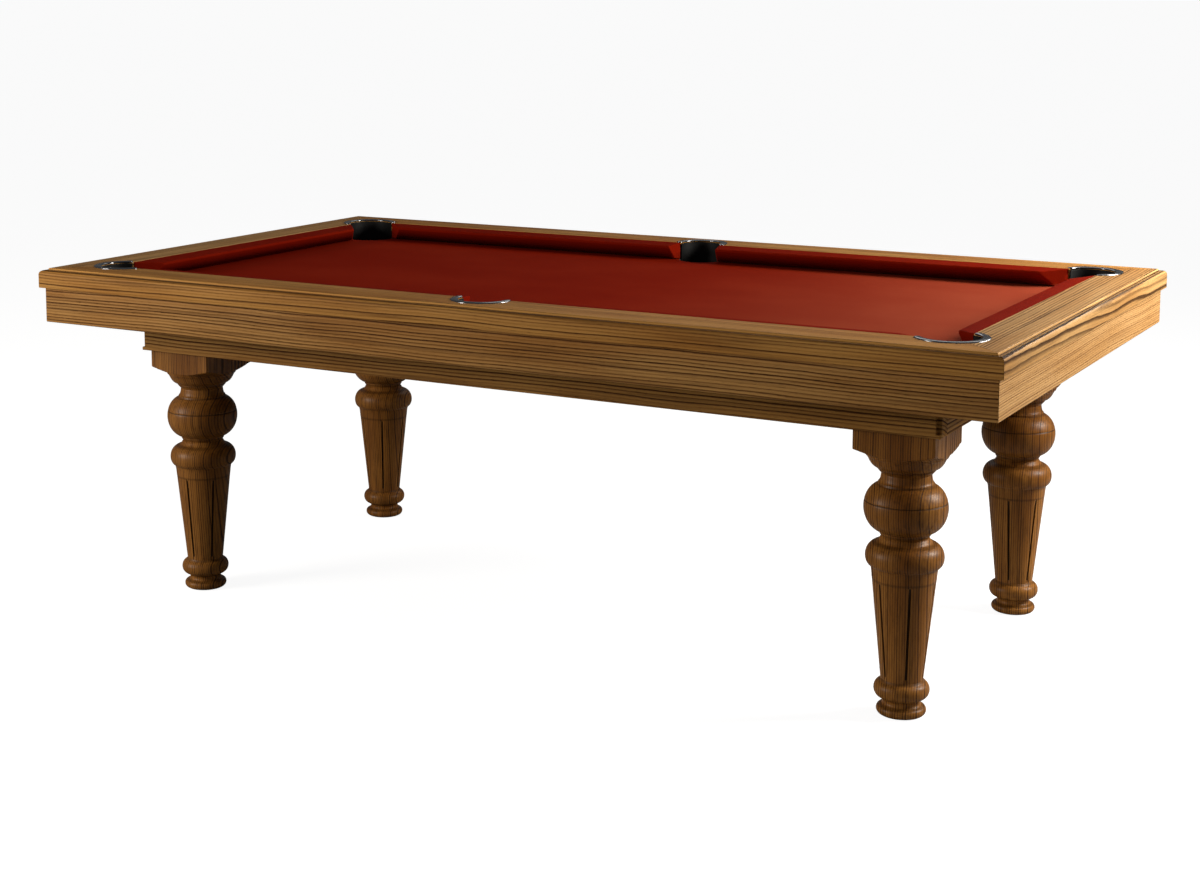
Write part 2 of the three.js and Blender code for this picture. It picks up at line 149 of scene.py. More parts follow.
@dataclass(frozen=True)
class PocketKind:
    """The sizes of one kind of pocket.

    Args:
        radius: inner radius of its cup.
        inward: how far its middle lies in from the table's outer faces.
        splay: half the angle, in degrees, between the two rails' normals at the pocket.
        wall: thickness of the cup's wall.
        play: the room left round the cup.
    """

    radius: float
    inward: float
    splay: float
    wall: float = 0.003
    play: float = 0.0006

    @property
    def tuck(self) -> float:
        """How far the rail's inner edge lies outward of the pocket's middle."""
        return self.inward - RAIL_WIDTH

    @property
    def hole(self) -> float:
        """Radius of the hole that the rails and the slate leave for the cup."""
        return self.radius + self.wall + self.play

    @property
    def reach(self) -> float:
        """Angle in radians from the outward direction to where the iron ends."""
        return math.radians(self.splay) + math.acos(self.tuck / self.radius)


CORNER = PocketKind(radius=0.058, inward=0.145, splay=45.0)
MIDDLE = PocketKind(radius=0.052, inward=0.110, splay=0.0)
CORNER_X, CORNER_Y = LENGTH / 2 - CORNER.inward, WIDTH / 2 - CORNER.inward
MIDDLE_Y = WIDTH / 2 - MIDDLE.inward


@dataclass(frozen=True)
class PocketPlace:
    """Where one pocket is.

    Args:
        name: its name as the node names spell it.
        x: its middle along the table.
        y: its middle across the table.
        turn: the direction outward, in degrees from +X.
        kind: its sizes.
    """

    name: str
    x: float
    y: float
    turn: float
    kind: PocketKind

    def place(self, radius: Numbers, angle: Numbers, z: Numbers) -> np.ndarray:
        """Polar coordinates about the pocket's middle, angle 0 outward, in the table's frame."""
        return polar(self.x, self.y, radius, angle + math.radians(self.turn), z)


def pocket_places() -> list[PocketPlace]:
    """The six pockets' places.

    Returns:
        The front row and then the back row, each from left to right.
    """
    places = []
    for row, back in (("front", -1), ("back", 1)):
        for word, right in (("left", -1), ("middle", 0), ("right", 1)):
            kind, y = (CORNER, CORNER_Y) if right else (MIDDLE, MIDDLE_Y)
            turn = back * (90 - 45 * right)
            places.append(PocketPlace(f"{row}_{word}", right * CORNER_X, back * y, turn, kind))
    return places


# ---- Surfaces ----
def eased(corners: np.ndarray, radii: np.ndarray, steps: int = 6, closed: bool = True) -> np.ndarray:
    """Rounds a polyline's corners with circular arcs.

    Each arc is the rational quadratic curve from one tangent point through the corner to the
    other, with the corner weighted by the sine of half the corner's angle.

    Args:
        corners: the corners, (n, 2).
        radii: the arc radius at each corner, 0 for a sharp one.
        steps: points on each arc.
        closed: whether the last corner joins the first.

    Returns:
        The rounded line's points, (n * steps, 2).
    """
    before, after = np.roll(corners, 1, axis=0), np.roll(corners, -1, axis=0)
    if not closed:
        before[0], after[-1] = 2 * corners[0] - corners[1], 2 * corners[-1] - corners[-2]
    back, on = before - corners, after - corners
    back /= np.linalg.norm(back, axis=1, keepdims=True)
    on /= np.linalg.norm(on, axis=1, keepdims=True)
    half = 0.5 * np.arccos(np.clip((back * on).sum(1), -1, 1))
    reach = (radii / np.maximum(np.tan(half), 1e-6))[:, None, None]
    weight = np.sin(half)[:, None, None]
    t = np.linspace(0, 1, steps)[None, :, None]
    first, last, mid = (1 - t) ** 2, t**2, 2 * t * (1 - t) * weight
    bend = (first * reach * back[:, None] + last * reach * on[:, None]) / (first + mid + last)
    return (corners[:, None] + bend).reshape(-1, 2)


def inset(section: np.ndarray, depth: float) -> np.ndarray:
    """A closed section moved inward by depth along its own normals.

    Args:
        section: the section's points, in order, (n, 2).
        depth: how far each point moves to the section's inside.

    Returns:
        The smaller section, (n, 2).
    """
    way = np.roll(section, -2, axis=0) - np.roll(section, 2, axis=0)
    x, y = section.T
    turning = np.sign((x * np.roll(y, -1) - y * np.roll(x, -1)).sum())
    inwards = turning * np.stack([-way[:, 1], way[:, 0]], axis=1)
    length = np.linalg.norm(inwards, axis=1, keepdims=True)
    return section + depth * inwards / np.maximum(length, 1e-9)


@dataclass
class Surface:
    """A skin as a grid of points over two parameters.

    Args:
        points: the grid, (rows, columns, 3).
        wraps: whether the last column joins the first.
        capped: whether the first and the last row are closed with a flat face.
        solid: whether the skin is closed, so that its faces can be turned outward.
        crease: edges that turn more than this many degrees stay sharp.
    """

    points: np.ndarray
    wraps: bool = True
    capped: bool = False
    solid: bool = True
    crease: float = 34.0

    def build(self, name: str) -> bpy.types.Object:
        """Makes the mesh: one quad between each four neighbours of the grid.

        Args:
            name: the piece's name.

        Returns:
            The piece, at the origin, with its place in its mesh.
        """
        rows, columns = self.points.shape[:2]
        index = np.arange(rows * columns).reshape(rows, columns)
        rim = index
        if self.wraps:
            index = np.concatenate([index, index[:, :1]], axis=1)
        quads = np.stack([index[:-1, :-1], index[1:, :-1], index[1:, 1:], index[:-1, 1:]], axis=-1)
        faces = quads.reshape(-1, 4).tolist()
        if self.capped:
            faces += [rim[0, ::-1].tolist(), rim[-1].tolist()]
        mesh = bpy.data.meshes.new(name)
        mesh.from_pydata(self.points.reshape(-1, 3), [], faces)
        return finish_mesh(mesh, name, self.solid, self.crease)


def finish_mesh(mesh: bpy.types.Mesh, name: str, solid: bool, crease: float) -> bpy.types.Object:
    """Merges doubled points, turns a closed skin's faces outward and shades it.

    Args:
        mesh: the raw mesh.
        name: the piece's name.
        solid: whether the skin is closed.
        crease: the angle in degrees above which an edge stays sharp.

    Returns:
        The linked object.
    """
    work = bmesh.new()
    work.from_mesh(mesh)
    bmesh.ops.remove_doubles(work, verts=work.verts, dist=WELD)
    bmesh.ops.dissolve_degenerate(work, edges=work.edges, dist=WELD / 2)
    if solid:
        bmesh.ops.recalc_face_normals(work, faces=work.faces)
        if work.calc_volume(signed=True) < 0:
            bmesh.ops.reverse_faces(work, faces=work.faces)
    work.to_mesh(mesh)
    work.free()
    mesh.polygons.foreach_set("use_smooth", np.ones(len(mesh.polygons), bool))
    mesh.set_sharp_from_angle(angle=math.radians(crease))
    piece = bpy.data.objects.new(name, mesh)
    bpy.context.scene.collection.objects.link(piece)
    return piece


def hand_over(
    piece: bpy.types.Object, body: str, node: str, material: bpy.types.Material
) -> bpy.types.Object:
    """Dresses a finished piece and gives it to the body it moves with.

    Args:
        piece: the finished piece.
        body: the body it rides on.
        node: the frame's node that it stands for.
        material: its finish.

    Returns:
        The same piece.
    """
    piece.data.materials.clear()
    piece.data.materials.append(material)
    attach(piece, body)
    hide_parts(node)
    LOG.info("%s stands for %s, %d faces", piece.name, node, len(piece.data.polygons))
    return piece


# ---- Shader language ----
class Value:
    """One socket of a material, so that shader maths reads as arithmetic."""

    def __init__(self, shading: "Shading", socket: bpy.types.NodeSocket) -> None:
        """Wraps a socket of that node tree."""
        self.shading, self.socket = shading, socket

    def _math(self, operation: str, *inputs: object) -> "Value":
        """A Math node over the inputs, in order."""
        return self.shading.value("ShaderNodeMath", {"operation": operation}, dict(enumerate(inputs)))

    def __add__(self, other: object) -> "Value":
        """self + other."""
        return self._math("ADD", self, other)

    __radd__ = __add__

    def __mul__(self, other: object) -> "Value":
        """self * other."""
        return self._math("MULTIPLY", self, other)

    __rmul__ = __mul__

    def __sub__(self, other: object) -> "Value":
        """self - other."""
        return self._math("SUBTRACT", self, other)

    def __rsub__(self, other: object) -> "Value":
        """other - self."""
        return self._math("SUBTRACT", other, self)

    def __pow__(self, other: object) -> "Value":
        """self to the power of other."""
        return self._math("POWER", self, other)

    def root(self) -> "Value":
        """Square root."""
        return self._math("SQRT", self)

    def floor(self) -> "Value":
        """The whole number below."""
        return self._math("FLOOR", self)

    def fraction(self) -> "Value":
        """What is left above the whole number below."""
        return self._math("FRACT", self)

    def size(self) -> "Value":
        """The absolute value."""
        return self._math("ABSOLUTE", self)

    def sine(self) -> "Value":
        """Sine of the value in radians."""
        return self._math("SINE", self)

    def bearing(self, across: "Value") -> "Value":
        """Angle in radians of the point (across, self)."""
        return self._math("ARCTAN2", self, across)

    def band(self, low: float, high: float) -> "Value":
        """A smooth step from 0 to 1.

        Args:
            low: where it is still 0; it may be the larger one, and the step then falls.
            high: where it has reached 1.

        Returns:
            The share, 0 to 1.
        """
        at_low, at_high = (0.0, 1.0) if low < high else (1.0, 0.0)
        values = {0: self, 1: min(low, high), 2: max(low, high), 3: at_low, 4: at_high}
        return self.shading.value("ShaderNodeMapRange", {"interpolation_type": "SMOOTHSTEP"}, values)


class Shading:
    """A node tree, with one method that makes any node."""

    def __init__(self, tree: bpy.types.NodeTree) -> None:
        """Wraps that tree."""
        self.tree = tree

    def feed(self, node: bpy.types.Node, values: dict) -> None:
        """Sets or links a node's sockets.

        Args:
            node: the node.
            values: its sockets by name or number, each a number, a vector, a colour or a Value.
        """
        for key, value in values.items():
            if isinstance(value, Value):
                self.tree.links.new(value.socket, node.inputs[key])
            elif isinstance(value, tuple) and node.inputs[key].type == "RGBA":
                node.inputs[key].default_value = (*value, 1.0)
            else:
                node.inputs[key].default_value = value

    def node(self, kind: str, settings: dict | None = None, values: dict | None = None) -> bpy.types.Node:
        """Adds a node.

        Args:
            kind: the node's type.
            settings: its properties, set first.
            values: its sockets, as feed takes them.

        Returns:
            The new node.
        """
        node = self.tree.nodes.new(kind)
        for key, setting in (settings or {}).items():
            setattr(node, key, setting)
        self.feed(node, values or {})
        return node

    def value(self, kind: str, settings: dict | None, values: dict, output: object = 0) -> Value:
        """Adds a node and wraps one of its outputs."""
        return Value(self, self.node(kind, settings, values).outputs[output])


class Recipe(Shading):
    """Builds one material's nodes round a Principled shader."""

    def __init__(self, name: str) -> None:
        """Starts the material with its shader and its Object coordinates.

        Args:
            name: the material's name.
        """
        self.material = bpy.data.materials.new(name)
        self.material.use_nodes = True
        super().__init__(self.material.node_tree)
        self.tree.nodes.clear()
        self.skin = self.node("ShaderNodeBsdfPrincipled")
        output = self.node("ShaderNodeOutputMaterial")
        self.tree.links.new(self.skin.outputs[0], output.inputs[0])
        self.place = self.value("ShaderNodeTexCoord", None, {}, "Object")

    def noise(self, place: Value, detail: float = 3.0, roughness: float = 0.5) -> Value:
        """Soft random hills about 0.5, one to a unit of place."""
        values = {"Vector": place, "Scale": 1.0, "Detail": detail, "Roughness": roughness}
        return self.value("ShaderNodeTexNoise", None, values)

    def hills(self, scale: Colour, detail: float = 3.0, roughness: float = 0.5) -> Value:
        """The same hills over the Object coordinates.

        Args:
            scale: how many to a metre along each axis.
            detail: how many finer layers lie on them.
            roughness: how strong the finer layers are.

        Returns:
            The hills, about 0.5.
        """
        values = {0: self.place, 1: scale, 2: (0.0, 0.0, 0.0)}
        spread = self.value("ShaderNodeVectorMath", {"operation": "MULTIPLY_ADD"}, values)
        return self.noise(spread, detail, roughness)

    def cells(self, scale: float) -> Value:
        """Distance to the nearest of many scattered points, so many to a metre."""
        values = {"Vector": self.place, "Scale": scale}
        return self.value("ShaderNodeTexVoronoi", None, values, "Distance")

    def draw(self, number: Value) -> Value:
        """A random value from 0 to 1 that each whole number keeps."""
        return self.value("ShaderNodeTexWhiteNoise", {"noise_dimensions": "1D"}, {"W": number}, "Value")

    def vector(self, x: object, y: object, z: object) -> Value:
        """A vector of three values."""
        return self.value("ShaderNodeCombineXYZ", None, {0: x, 1: y, 2: z})

    def mix(self, share: object, first: object, second: object) -> Value:
        """The first colour where share is 0 and the second where it is 1."""
        values = {"Factor": share, 6: first, 7: second}
        return self.value("ShaderNodeMix", {"data_type": "RGBA"}, values, 2)

    def axes(self) -> tuple[Value, Value, Value]:
        """The three Object coordinates."""
        split = self.node("ShaderNodeSeparateXYZ", None, {0: self.place})
        return tuple(Value(self, socket) for socket in split.outputs)

    def skin_of(
        self,
        colour: object,
        roughness: object,
        height: Value | None = None,
        depth: float = 0.0002,
        strength: float = 1.0,
        **constants: object,
    ) -> bpy.types.Material:
        """Connects the shader.

        Args:
            colour: base colour.
            roughness: roughness.
            height: relief from 0 to 1, or None.
            depth: what a relief of 1 is worth in metres.
            strength: how strongly the relief turns the light.
            constants: other sockets by name, with underscores for spaces.

        Returns:
            The finished material.
        """
        values = {"Base Color": colour, "Roughness": roughness}
        values |= {key.replace("_", " "): value for key, value in constants.items()}
        if height is not None:
            relief = {"Strength": strength, "Distance": depth, "Height": height}
            values["Normal"] = self.value("ShaderNodeBump", None, relief)
        self.feed(self.skin, values)
        return self.material


# ---- Finishes ----
Marks = Callable[[Recipe], tuple[Value, Value]]


@dataclass(frozen=True)
class Oak:
    """Brushed, satin-lacquered oak: growth rings, pores and slow changes of colour.

    Args:
        pale: the late wood's colour.
        warm: the colour it drifts to.
        dark: the open early wood.
        pitch: distance between rings.
        pith: how far the tree's heart lies from the board's middle, across and deep.
        roughness: roughness of the lacquer.
        gloss: how strongly it mirrors.
    """

    pale: Colour = (0.57, 0.298, 0.092)
    warm: Colour = (0.41, 0.182, 0.044)
    dark: Colour = (0.055, 0.016, 0.003)
    pitch: float = 0.0070
    pith: tuple[float, float] = (0.03, 0.17)
    roughness: float = 0.48
    gloss: float = 0.06

    def material(
        self, name: str, grain: Grain, seed: int, middle: Colour, marks: Marks | None = None
    ) -> bpy.types.Material:
        """Makes one board's material.

        The ring number is the distance from the heart, bent by slow noise, over the pitch. Each
        ring darkens towards its end and starts pale again, and keeps its own strength, and a
        fainter line runs at 2.7 times the rings' number.

        Args:
            name: the material's name.
            grain: the axis that the grain runs along.
            seed: picks the board out of the tree.
            middle: the board's middle.
            marks: gives the shares, 0 to 1, of painted shade and of painted highlight.

        Returns:
            The material.
        """
        rng = np.random.default_rng(seed)
        recipe = Recipe(name)
        axes = recipe.axes()
        a, b, c = (axes[i] - float(middle[i]) for i in grain.value)
        far = rng.uniform(3, 40)
        sway = recipe.noise(recipe.vector(a * 0.9 + far, b * 5.0, c * 5.0), 2.0)
        curl = recipe.noise(recipe.vector(a * 5.0, b * 30.0 + far, c * 30.0))
        swell = recipe.noise(recipe.vector(a * 1.7 - far, b * 3.0, c * 3.0), 1.0)
        lean = rng.uniform(-0.012, 0.012)
        across = b + self.pith[0] + (sway - 0.5) * 0.014 + a * lean
        deep = c + self.pith[1] + (swell - 0.5) * 0.016
        ring = (across * across + deep * deep).root() * (1.0 / self.pitch) + (curl - 0.5) * 0.8
        part, number = ring.fraction(), ring.floor()
        line = part.band(0.32, 0.80) * part.band(1.0, 0.90)
        thin = (ring * 2.7 + sway * 2.0).fraction()
        early = line * (0.26 + recipe.draw(number) * 0.78) + thin**3.0 * thin.band(1.0, 0.9) * 0.22
        streak = recipe.noise(recipe.vector(a * 2.5 + far, b * 170.0, c * 170.0), 2.0)
        fibre = recipe.noise(recipe.vector(a * 14.0, b * 620.0, c * 620.0), 2.0, 0.6)
        pores = recipe.noise(recipe.vector(a * 55.0 + far, b * 1500.0, c * 1500.0), 1.0)
        pores = pores.band(0.60, 0.72) * (0.25 + early * 1.1)
        drift = recipe.noise(recipe.vector(a * 2.2, b * 14.0, c * 14.0 + far), 2.0)
        body = recipe.mix(drift.band(0.3, 0.72), self.pale, self.warm)
        body = recipe.mix(fibre.band(0.35, 0.85) * 0.4, body, self.warm)
        body = recipe.mix(streak.band(0.45, 0.75) * 0.45, body, self.dark)
        body = recipe.mix(early * 0.95, body, self.dark)
        body = recipe.mix(pores * 0.85, body, tuple(0.35 * x for x in self.dark))
        if marks:
            # painted highlight as a paler copy of the late wood, painted shade as a darker copy of the
            # early wood
            painted_shade, painted_highlight = marks(recipe)
            body = recipe.mix(painted_highlight, body, tuple(min(1.0, 1.3 * x) for x in self.pale))
            body = recipe.mix(painted_shade, body, tuple(0.3 * x for x in self.dark))
        polish = self.roughness + early * 0.16 + (fibre - 0.5) * 0.12 + pores * 0.2
        relief = 1.0 - early * 0.75 - pores * 0.6 + (fibre - 0.5) * 0.25
        return recipe.skin_of(body, polish, relief, 0.00025, 0.7, Specular_IOR_Level=self.gloss)


@dataclass(frozen=True)
class Worsted:
    """Napped wool cloth: a fine twill under a soft nap.

    Args:
        face: the cloth's colour.
        shade: the colour between the threads, also laid over the cushions as painted shade.
        worn: where it is rubbed by use.
        lint: the loose fibres on it.
        dusty: the colour of the painted sheen on the bed.
        threads: the threads' radians to a metre.
    """

    face: Colour = (0.350, 0.019, 0.002)
    shade: Colour = (0.150, 0.0035, 0.0004)
    worn: Colour = (0.40, 0.038, 0.010)
    lint: Colour = (0.50, 0.070, 0.020)
    dusty: Colour = (0.36, 0.078, 0.036)
    threads: float = 5200.0

    def material(self, name: str) -> bpy.types.Material:
        """Makes the cloth.

        Two crossed sines are the threads, and noise is the nap, the lint and the wear. Above the bed,
        on the cushions, the cloth is darkened with painted shade, and on the bed a painted sheen,
        mottled by slow noise, thickens to the right.

        Args:
            name: the material's name.

        Returns:
            The material.
        """
        recipe = Recipe(name)
        x, y, z = recipe.axes()
        warp, weft = ((x + y) * self.threads).sine(), ((x - y + z) * self.threads).sine()
        threads = warp * weft * 0.5 + 0.5
        nap = recipe.hills((900.0, 900.0, 900.0), 3.0, 0.7)
        lint = recipe.hills((140.0, 260.0, 200.0), 2.0)
        use = recipe.hills((3.0, 4.5, 4.0))
        body = recipe.mix(nap.band(0.25, 0.8) * 0.6 + threads * 0.2, self.shade, self.face)
        body = recipe.mix(use.band(0.35, 0.75) * 0.16, body, self.worn)
        body = recipe.mix(lint.band(0.64, 0.80) * 0.15, body, self.lint)
        # painted shade: above the bed, on the cushions, the cloth is darkened towards the shade colour
        body = recipe.mix(z.band(0.762, 0.770) * 0.45, body, self.shade)
        # painted sheen: the bed's cloth turns paler towards its right end, mottled by slow noise
        dust = x.band(0.05, 1.05) * z.band(0.766, 0.759) * (0.60 + (use - 0.5) * 0.5)
        body = recipe.mix(dust, body, self.dusty)
        relief = threads * 0.35 + nap * 0.65
        rough = 0.86 + (nap - 0.5) * 0.12
        return recipe.skin_of(body, rough, relief, 0.00025, 0.8, Specular_IOR_Level=0.02)


@dataclass(frozen=True)
class Metal:
    """Polished or plated metal with fine scratches and finger marks.

    Args:
        colour: the metal's colour.
        roughness: its roughness where it is clean.
        scratch: how deep the marks go, from 0 to 1.
    """

    colour: Colour
    roughness: float
    scratch: float

    def material(self, name: str) -> bpy.types.Material:
        """Makes the metal: cast ripple, crossed hairlines and duller patches.

        Args:
            name: the material's name.

        Returns:
            The material.
        """
        recipe = Recipe(name)
        ripple = recipe.hills((85.0, 85.0, 85.0))
        lines = recipe.hills((260.0, 2400.0, 900.0), 2.0, 0.7)
        cross = recipe.hills((2400.0, 260.0, 900.0), 2.0, 0.7)
        marks = recipe.hills((28.0, 28.0, 28.0))
        hair = (lines.band(0.55, 0.8) + cross.band(0.55, 0.8)) * 0.5
        dull = tuple(0.6 * c for c in self.colour)
        tint = recipe.mix(marks.band(0.4, 0.75) * 0.4, self.colour, dull)
        rough = self.roughness + marks.band(0.45, 0.8) * 0.14 + hair * self.scratch * 0.25
        relief = ripple * 0.7 + hair * self.scratch * 0.3
        return recipe.skin_of(tint, rough, relief, 0.00012, 0.5, Metallic=1.0)


@dataclass(frozen=True)
class Moulded:
    """Moulded plastic, rubber or stone: a stippled skin with dusty patches.

    Args:
        colour: the clean skin.
        dust: what settles on it.
        roughness: its roughness.
        stipple: stipple cells to a metre.
        depth: depth of the stipple.
        gloss: how strongly it mirrors.
    """

    colour: Colour
    dust: Colour
    roughness: float
    stipple: float
    depth: float
    gloss: float = 0.5

    def material(self, name: str) -> bpy.types.Material:
        """Makes the skin: cells for the stipple, slow noise for the dust.

        Args:
            name: the material's name.

        Returns:
            The material.
        """
        recipe = Recipe(name)
        cells = recipe.cells(self.stipple)
        grit = recipe.hills((self.stipple, self.stipple, self.stipple))
        patch = recipe.hills((17.0, 17.0, 17.0), 4.0)
        dusty = patch.band(0.4, 0.8) * 0.5 + grit.band(0.55, 0.8) * 0.25
        body = recipe.mix(dusty, self.colour, self.dust)
        rough = self.roughness + (grit - 0.5) * 0.2
        relief = cells * 0.7 + grit * 0.3
        return recipe.skin_of(body, rough, relief, self.depth, 0.6, Specular_IOR_Level=self.gloss)


# ---- Rails and aprons ----
@dataclass
class MitredBoard:
    """A board with one section all along a side of the table, mitred at both ends.

    Args:
        side: the side it lies on.
        node: the frame's node that it stands for.
        corners: the section's corners as (inward, height) in millimetres.
        radii: the rounding of each corner in millimetres.
        kerf: how deep the arris at each mitre is.
        rows: stations along the board.
    """

    side: Side
    node: str
    corners: tuple[tuple[float, float], ...]
    radii: tuple[float, ...]
    kerf: float = 0.0006
    rows: int = 49

    def section(self) -> np.ndarray:
        """The rounded section, (points, 2), in metres."""
        return eased(metres(*np.ravel(self.corners)).reshape(-1, 2), metres(*self.radii))

    def inner_edge(self) -> tuple[np.ndarray, np.ndarray, np.ndarray]:
        """The board's stations from its middle to its right end.

        Returns:
            For each station the place along the outer face, and the place along and inward of
            the inner edge. Without a pocket the edge is the mitre's own reach.
        """
        depth = np.full(self.rows, max(c[0] for c in self.corners) / 1000.0)
        share = np.linspace(0, 1, self.rows)
        return share * self.side.half, share * (self.side.half - depth), depth

    def grid(self) -> np.ndarray:
        """The board's skin.

        A station is the straight line from its outer to its inner place, and a section point
        lies on it at its own distance inward, held back where a pocket cuts the inner edge. At
        each mitre the last station carries the section a kerf smaller, which leaves a fine V.

        Returns:
            The grid, (stations, section points, 3).
        """
        outer, inner, depth = self.inner_edge()
        outer, inner, depth = (
            np.concatenate([flip * values[:0:-1], values])
            for flip, values in ((-1, outer), (-1, inner), (1, depth))
        )
        full = self.section()
        small = inset(full, self.kerf)
        rows = len(outer)
        pick = np.concatenate([[0, 0], np.arange(1, rows - 1), [rows - 1, rows - 1]])
        back = np.zeros(rows + 2)
        back[[0, 1, -2, -1]] = GAP, GAP + 1.2 * self.kerf, -GAP - 1.2 * self.kerf, -GAP
        sections = np.broadcast_to(full, (rows + 2, *full.shape)).copy()
        sections[[0, -1]] = small
        outer, inner, depth = outer[pick, None], inner[pick, None], depth[pick, None]
        inward = np.minimum(sections[..., 0], depth)
        along = outer + (inner - outer) * inward / depth + back[:, None]
        return self.side.place(along, inward, sections[..., 1])

    def build(self) -> bpy.types.Object:
        """The board's closed mesh."""
        return Surface(self.grid(), capped=True).build(f"{self.node}_board")


@dataclass
class TopRail(MitredBoard):
    """A top rail: a board with a stepped, quirked and rounded outer edge, cut round its pockets.

    Args:
        corners: as a plain board's.
        radii: as a plain board's.
    """

    corners: tuple[tuple[float, float], ...] = (
        (0, 754), (66, 754), (66, 776), (118, 776), (118, 800), (16.6, 800), (16.6, 794.2),
        (14.6, 794.2), (13.8, 795.5), (0, 795.5),
    )
    radii: tuple[float, ...] = (1.6, 1.0, 0.3, 0.5, 1.0, 2.0, 0.4, 0.4, 0.5, 9.4)

    @staticmethod
    def marks(recipe: Recipe) -> tuple[Value, Value]:
        """Painted shade along the ledge of the step, and a painted highlight along the step's own edge.

        Args:
            recipe: the rail's material.

        Returns:
            The two shares, each by height alone.
        """
        z = recipe.axes()[2]
        # painted shade in the step's ledge and painted highlight on the step's edge, both by height
        painted_shade = z.band(0.7936, 0.7945) * z.band(0.7957, 0.7952) * 0.8
        return painted_shade, z.band(0.7960, 0.7966) * z.band(0.79992, 0.79965) * 0.6

    def inner_edge(self) -> tuple[np.ndarray, np.ndarray, np.ndarray]:
        """The rail's stations, with its inner edge round the pockets.

        The inner edge is the middle pocket's circle on a long side, then the straight rim, then
        the corner pocket's circle up to the mitre. The outer places fan out evenly beside it.

        Returns:
            As the plain board's.
        """
        half, radius = self.side.half, CORNER.hole
        start = -math.pi + math.asin(CORNER.tuck / radius)
        turn = np.linspace(start, -math.pi / 4, 34)
        along = half - CORNER.inward + radius * np.cos(turn)
        corner = (np.linspace(along[0], half, len(turn)), along, CORNER.inward + radius * np.sin(turn))
        first = 0.0
        pieces = []
        if self.side.long:
            radius = MIDDLE.hole
            turn = np.linspace(-math.pi / 2, math.asin(-MIDDLE.tuck / radius), 30)
            first = 0.060
            fan = np.linspace(0, first - 0.003, len(turn))
            pieces.append((fan, radius * np.cos(turn), MIDDLE.inward + radius * np.sin(turn)))
        straight = np.linspace(first, along[0], 60)[:-1]
        pieces.append((straight, straight, np.full(len(straight), RAIL_WIDTH)))
        pieces.append(corner)
        return tuple(np.concatenate(part) for part in zip(*pieces))


@dataclass
class Apron(MitredBoard):
    """An apron: a plain board with eased edges, set back under the rail.

    Args:
        corners: as a plain board's.
        radii: as a plain board's.
    """

    corners: tuple[tuple[float, float], ...] = ((11, 672), (33, 672), (33, 753.7), (11, 753.7))
    radii: tuple[float, ...] = (2.6, 2.0, 0.5, 0.5)


@dataclass
class RailSet:
    """The four top rails and the four aprons.

    Args:
        rail_oak: the long top rails' wood.
        apron_oak: the long aprons' wood.
        end_rail_oak: the top rails' wood at both ends, finer, and paler as painted light.
        end_apron_oak: the aprons' wood at both ends, paler again, as painted light.
    """

    rail_oak: Oak = Oak((0.62, 0.308, 0.078), (0.44, 0.185, 0.038), pitch=0.0062, pith=(0.12, 0.12))
    apron_oak: Oak = Oak()
    # painted light: the end boards' oak is a paler copy of the long boards' oak, for the lit end
    end_rail_oak: Oak = Oak(
        (0.60, 0.345, 0.132), (0.46, 0.230, 0.072), (0.048, 0.017, 0.004), pith=(0.22, 0.13)
    )
    end_apron_oak: Oak = Oak(
        (0.64, 0.375, 0.155), (0.53, 0.280, 0.098), (0.240, 0.110, 0.036), pitch=0.0034, pith=(0.09, 0.20)
    )

    def build(self) -> None:
        """Builds and dresses the eight boards."""
        for order, side in enumerate(Side):
            middle = tuple(side.place(0.0, 0.06, 0.78))
            rail = self.rail_oak if side.long else self.end_rail_oak
            apron = self.apron_oak if side.long else self.end_apron_oak
            boards = (
                (TopRail(side, f"top_rail_{side.word}"), rail, 11 + order, TopRail.marks),
                (Apron(side, f"apron_{side.word}"), apron, 31 + order, None),
            )
            for board, wood, seed, marks in boards:
                oak = wood.material(f"oak_{board.node}", side.grain, seed, middle, marks)
                hand_over(board.build(), "table", board.node, oak)


# ---- Underframe ----
@dataclass
class EasedTimber:
    """A sawn timber: the frame's own solid with its edges eased.

    Args:
        node: the frame's node.
        slot: its material slot; not used.
        arris: how far its edges are taken off.
    """

    node: str
    slot: str
    arris: float = 0.0014

    def build(self, material: bpy.types.Material) -> bpy.types.Object:
        """Copies the solid, merges it, joins its flat faces and rounds its edges.

        Args:
            material: the timber's finish.

        Returns:
            The piece.
        """
        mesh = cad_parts[self.node].data.copy()
        work = bmesh.new()
        work.from_mesh(mesh)
        bmesh.ops.remove_doubles(work, verts=work.verts, dist=2e-5)
        flat = math.radians(1)
        bmesh.ops.dissolve_limit(work, angle_limit=flat, verts=work.verts, edges=work.edges)
        work.to_mesh(mesh)
        work.free()
        piece = finish_mesh(mesh, f"{self.node}_timber", True, 34.0)
        bevel = piece.modifiers.new("arris", "BEVEL")
        bevel.width, bevel.segments, bevel.limit_method = self.arris, 2, "ANGLE"
        bevel.angle_limit = math.radians(50)
        bevel.harden_normals = False
        return hand_over(piece, "table", self.node, material)


@dataclass
class Underframe:
    """The deep inset frame under the slate and its cross beams.

    Args:
        oak: the beams' wood.
        pine: the cross beams' wood.
    """

    oak: Oak = Oak((0.50, 0.250, 0.066), (0.35, 0.150, 0.030), pitch=0.0080, pith=(0.04, 0.16))
    pine: Oak = Oak(
        (0.62, 0.43, 0.22), (0.55, 0.33, 0.14), (0.30, 0.15, 0.05),
        pitch=0.008, pith=(0.05, 0.09), roughness=0.6,
    )

    def build(self) -> None:
        """Eases and dresses the four beams and the two cross beams."""
        for order, side in enumerate(Side):
            node = f"frame_beam_{side.word}"
            oak = self.oak.material(f"oak_{node}", side.grain, 51 + order, middle_of(node))
            EasedTimber(node, "frame_oak").build(oak)
        for order, word in enumerate(("left", "right")):
            node = f"frame_cross_beam_{word}"
            pine = self.pine.material(f"pine_{node}", Grain.Y, 61 + order, middle_of(node))
            EasedTimber(node, "pine").build(pine)


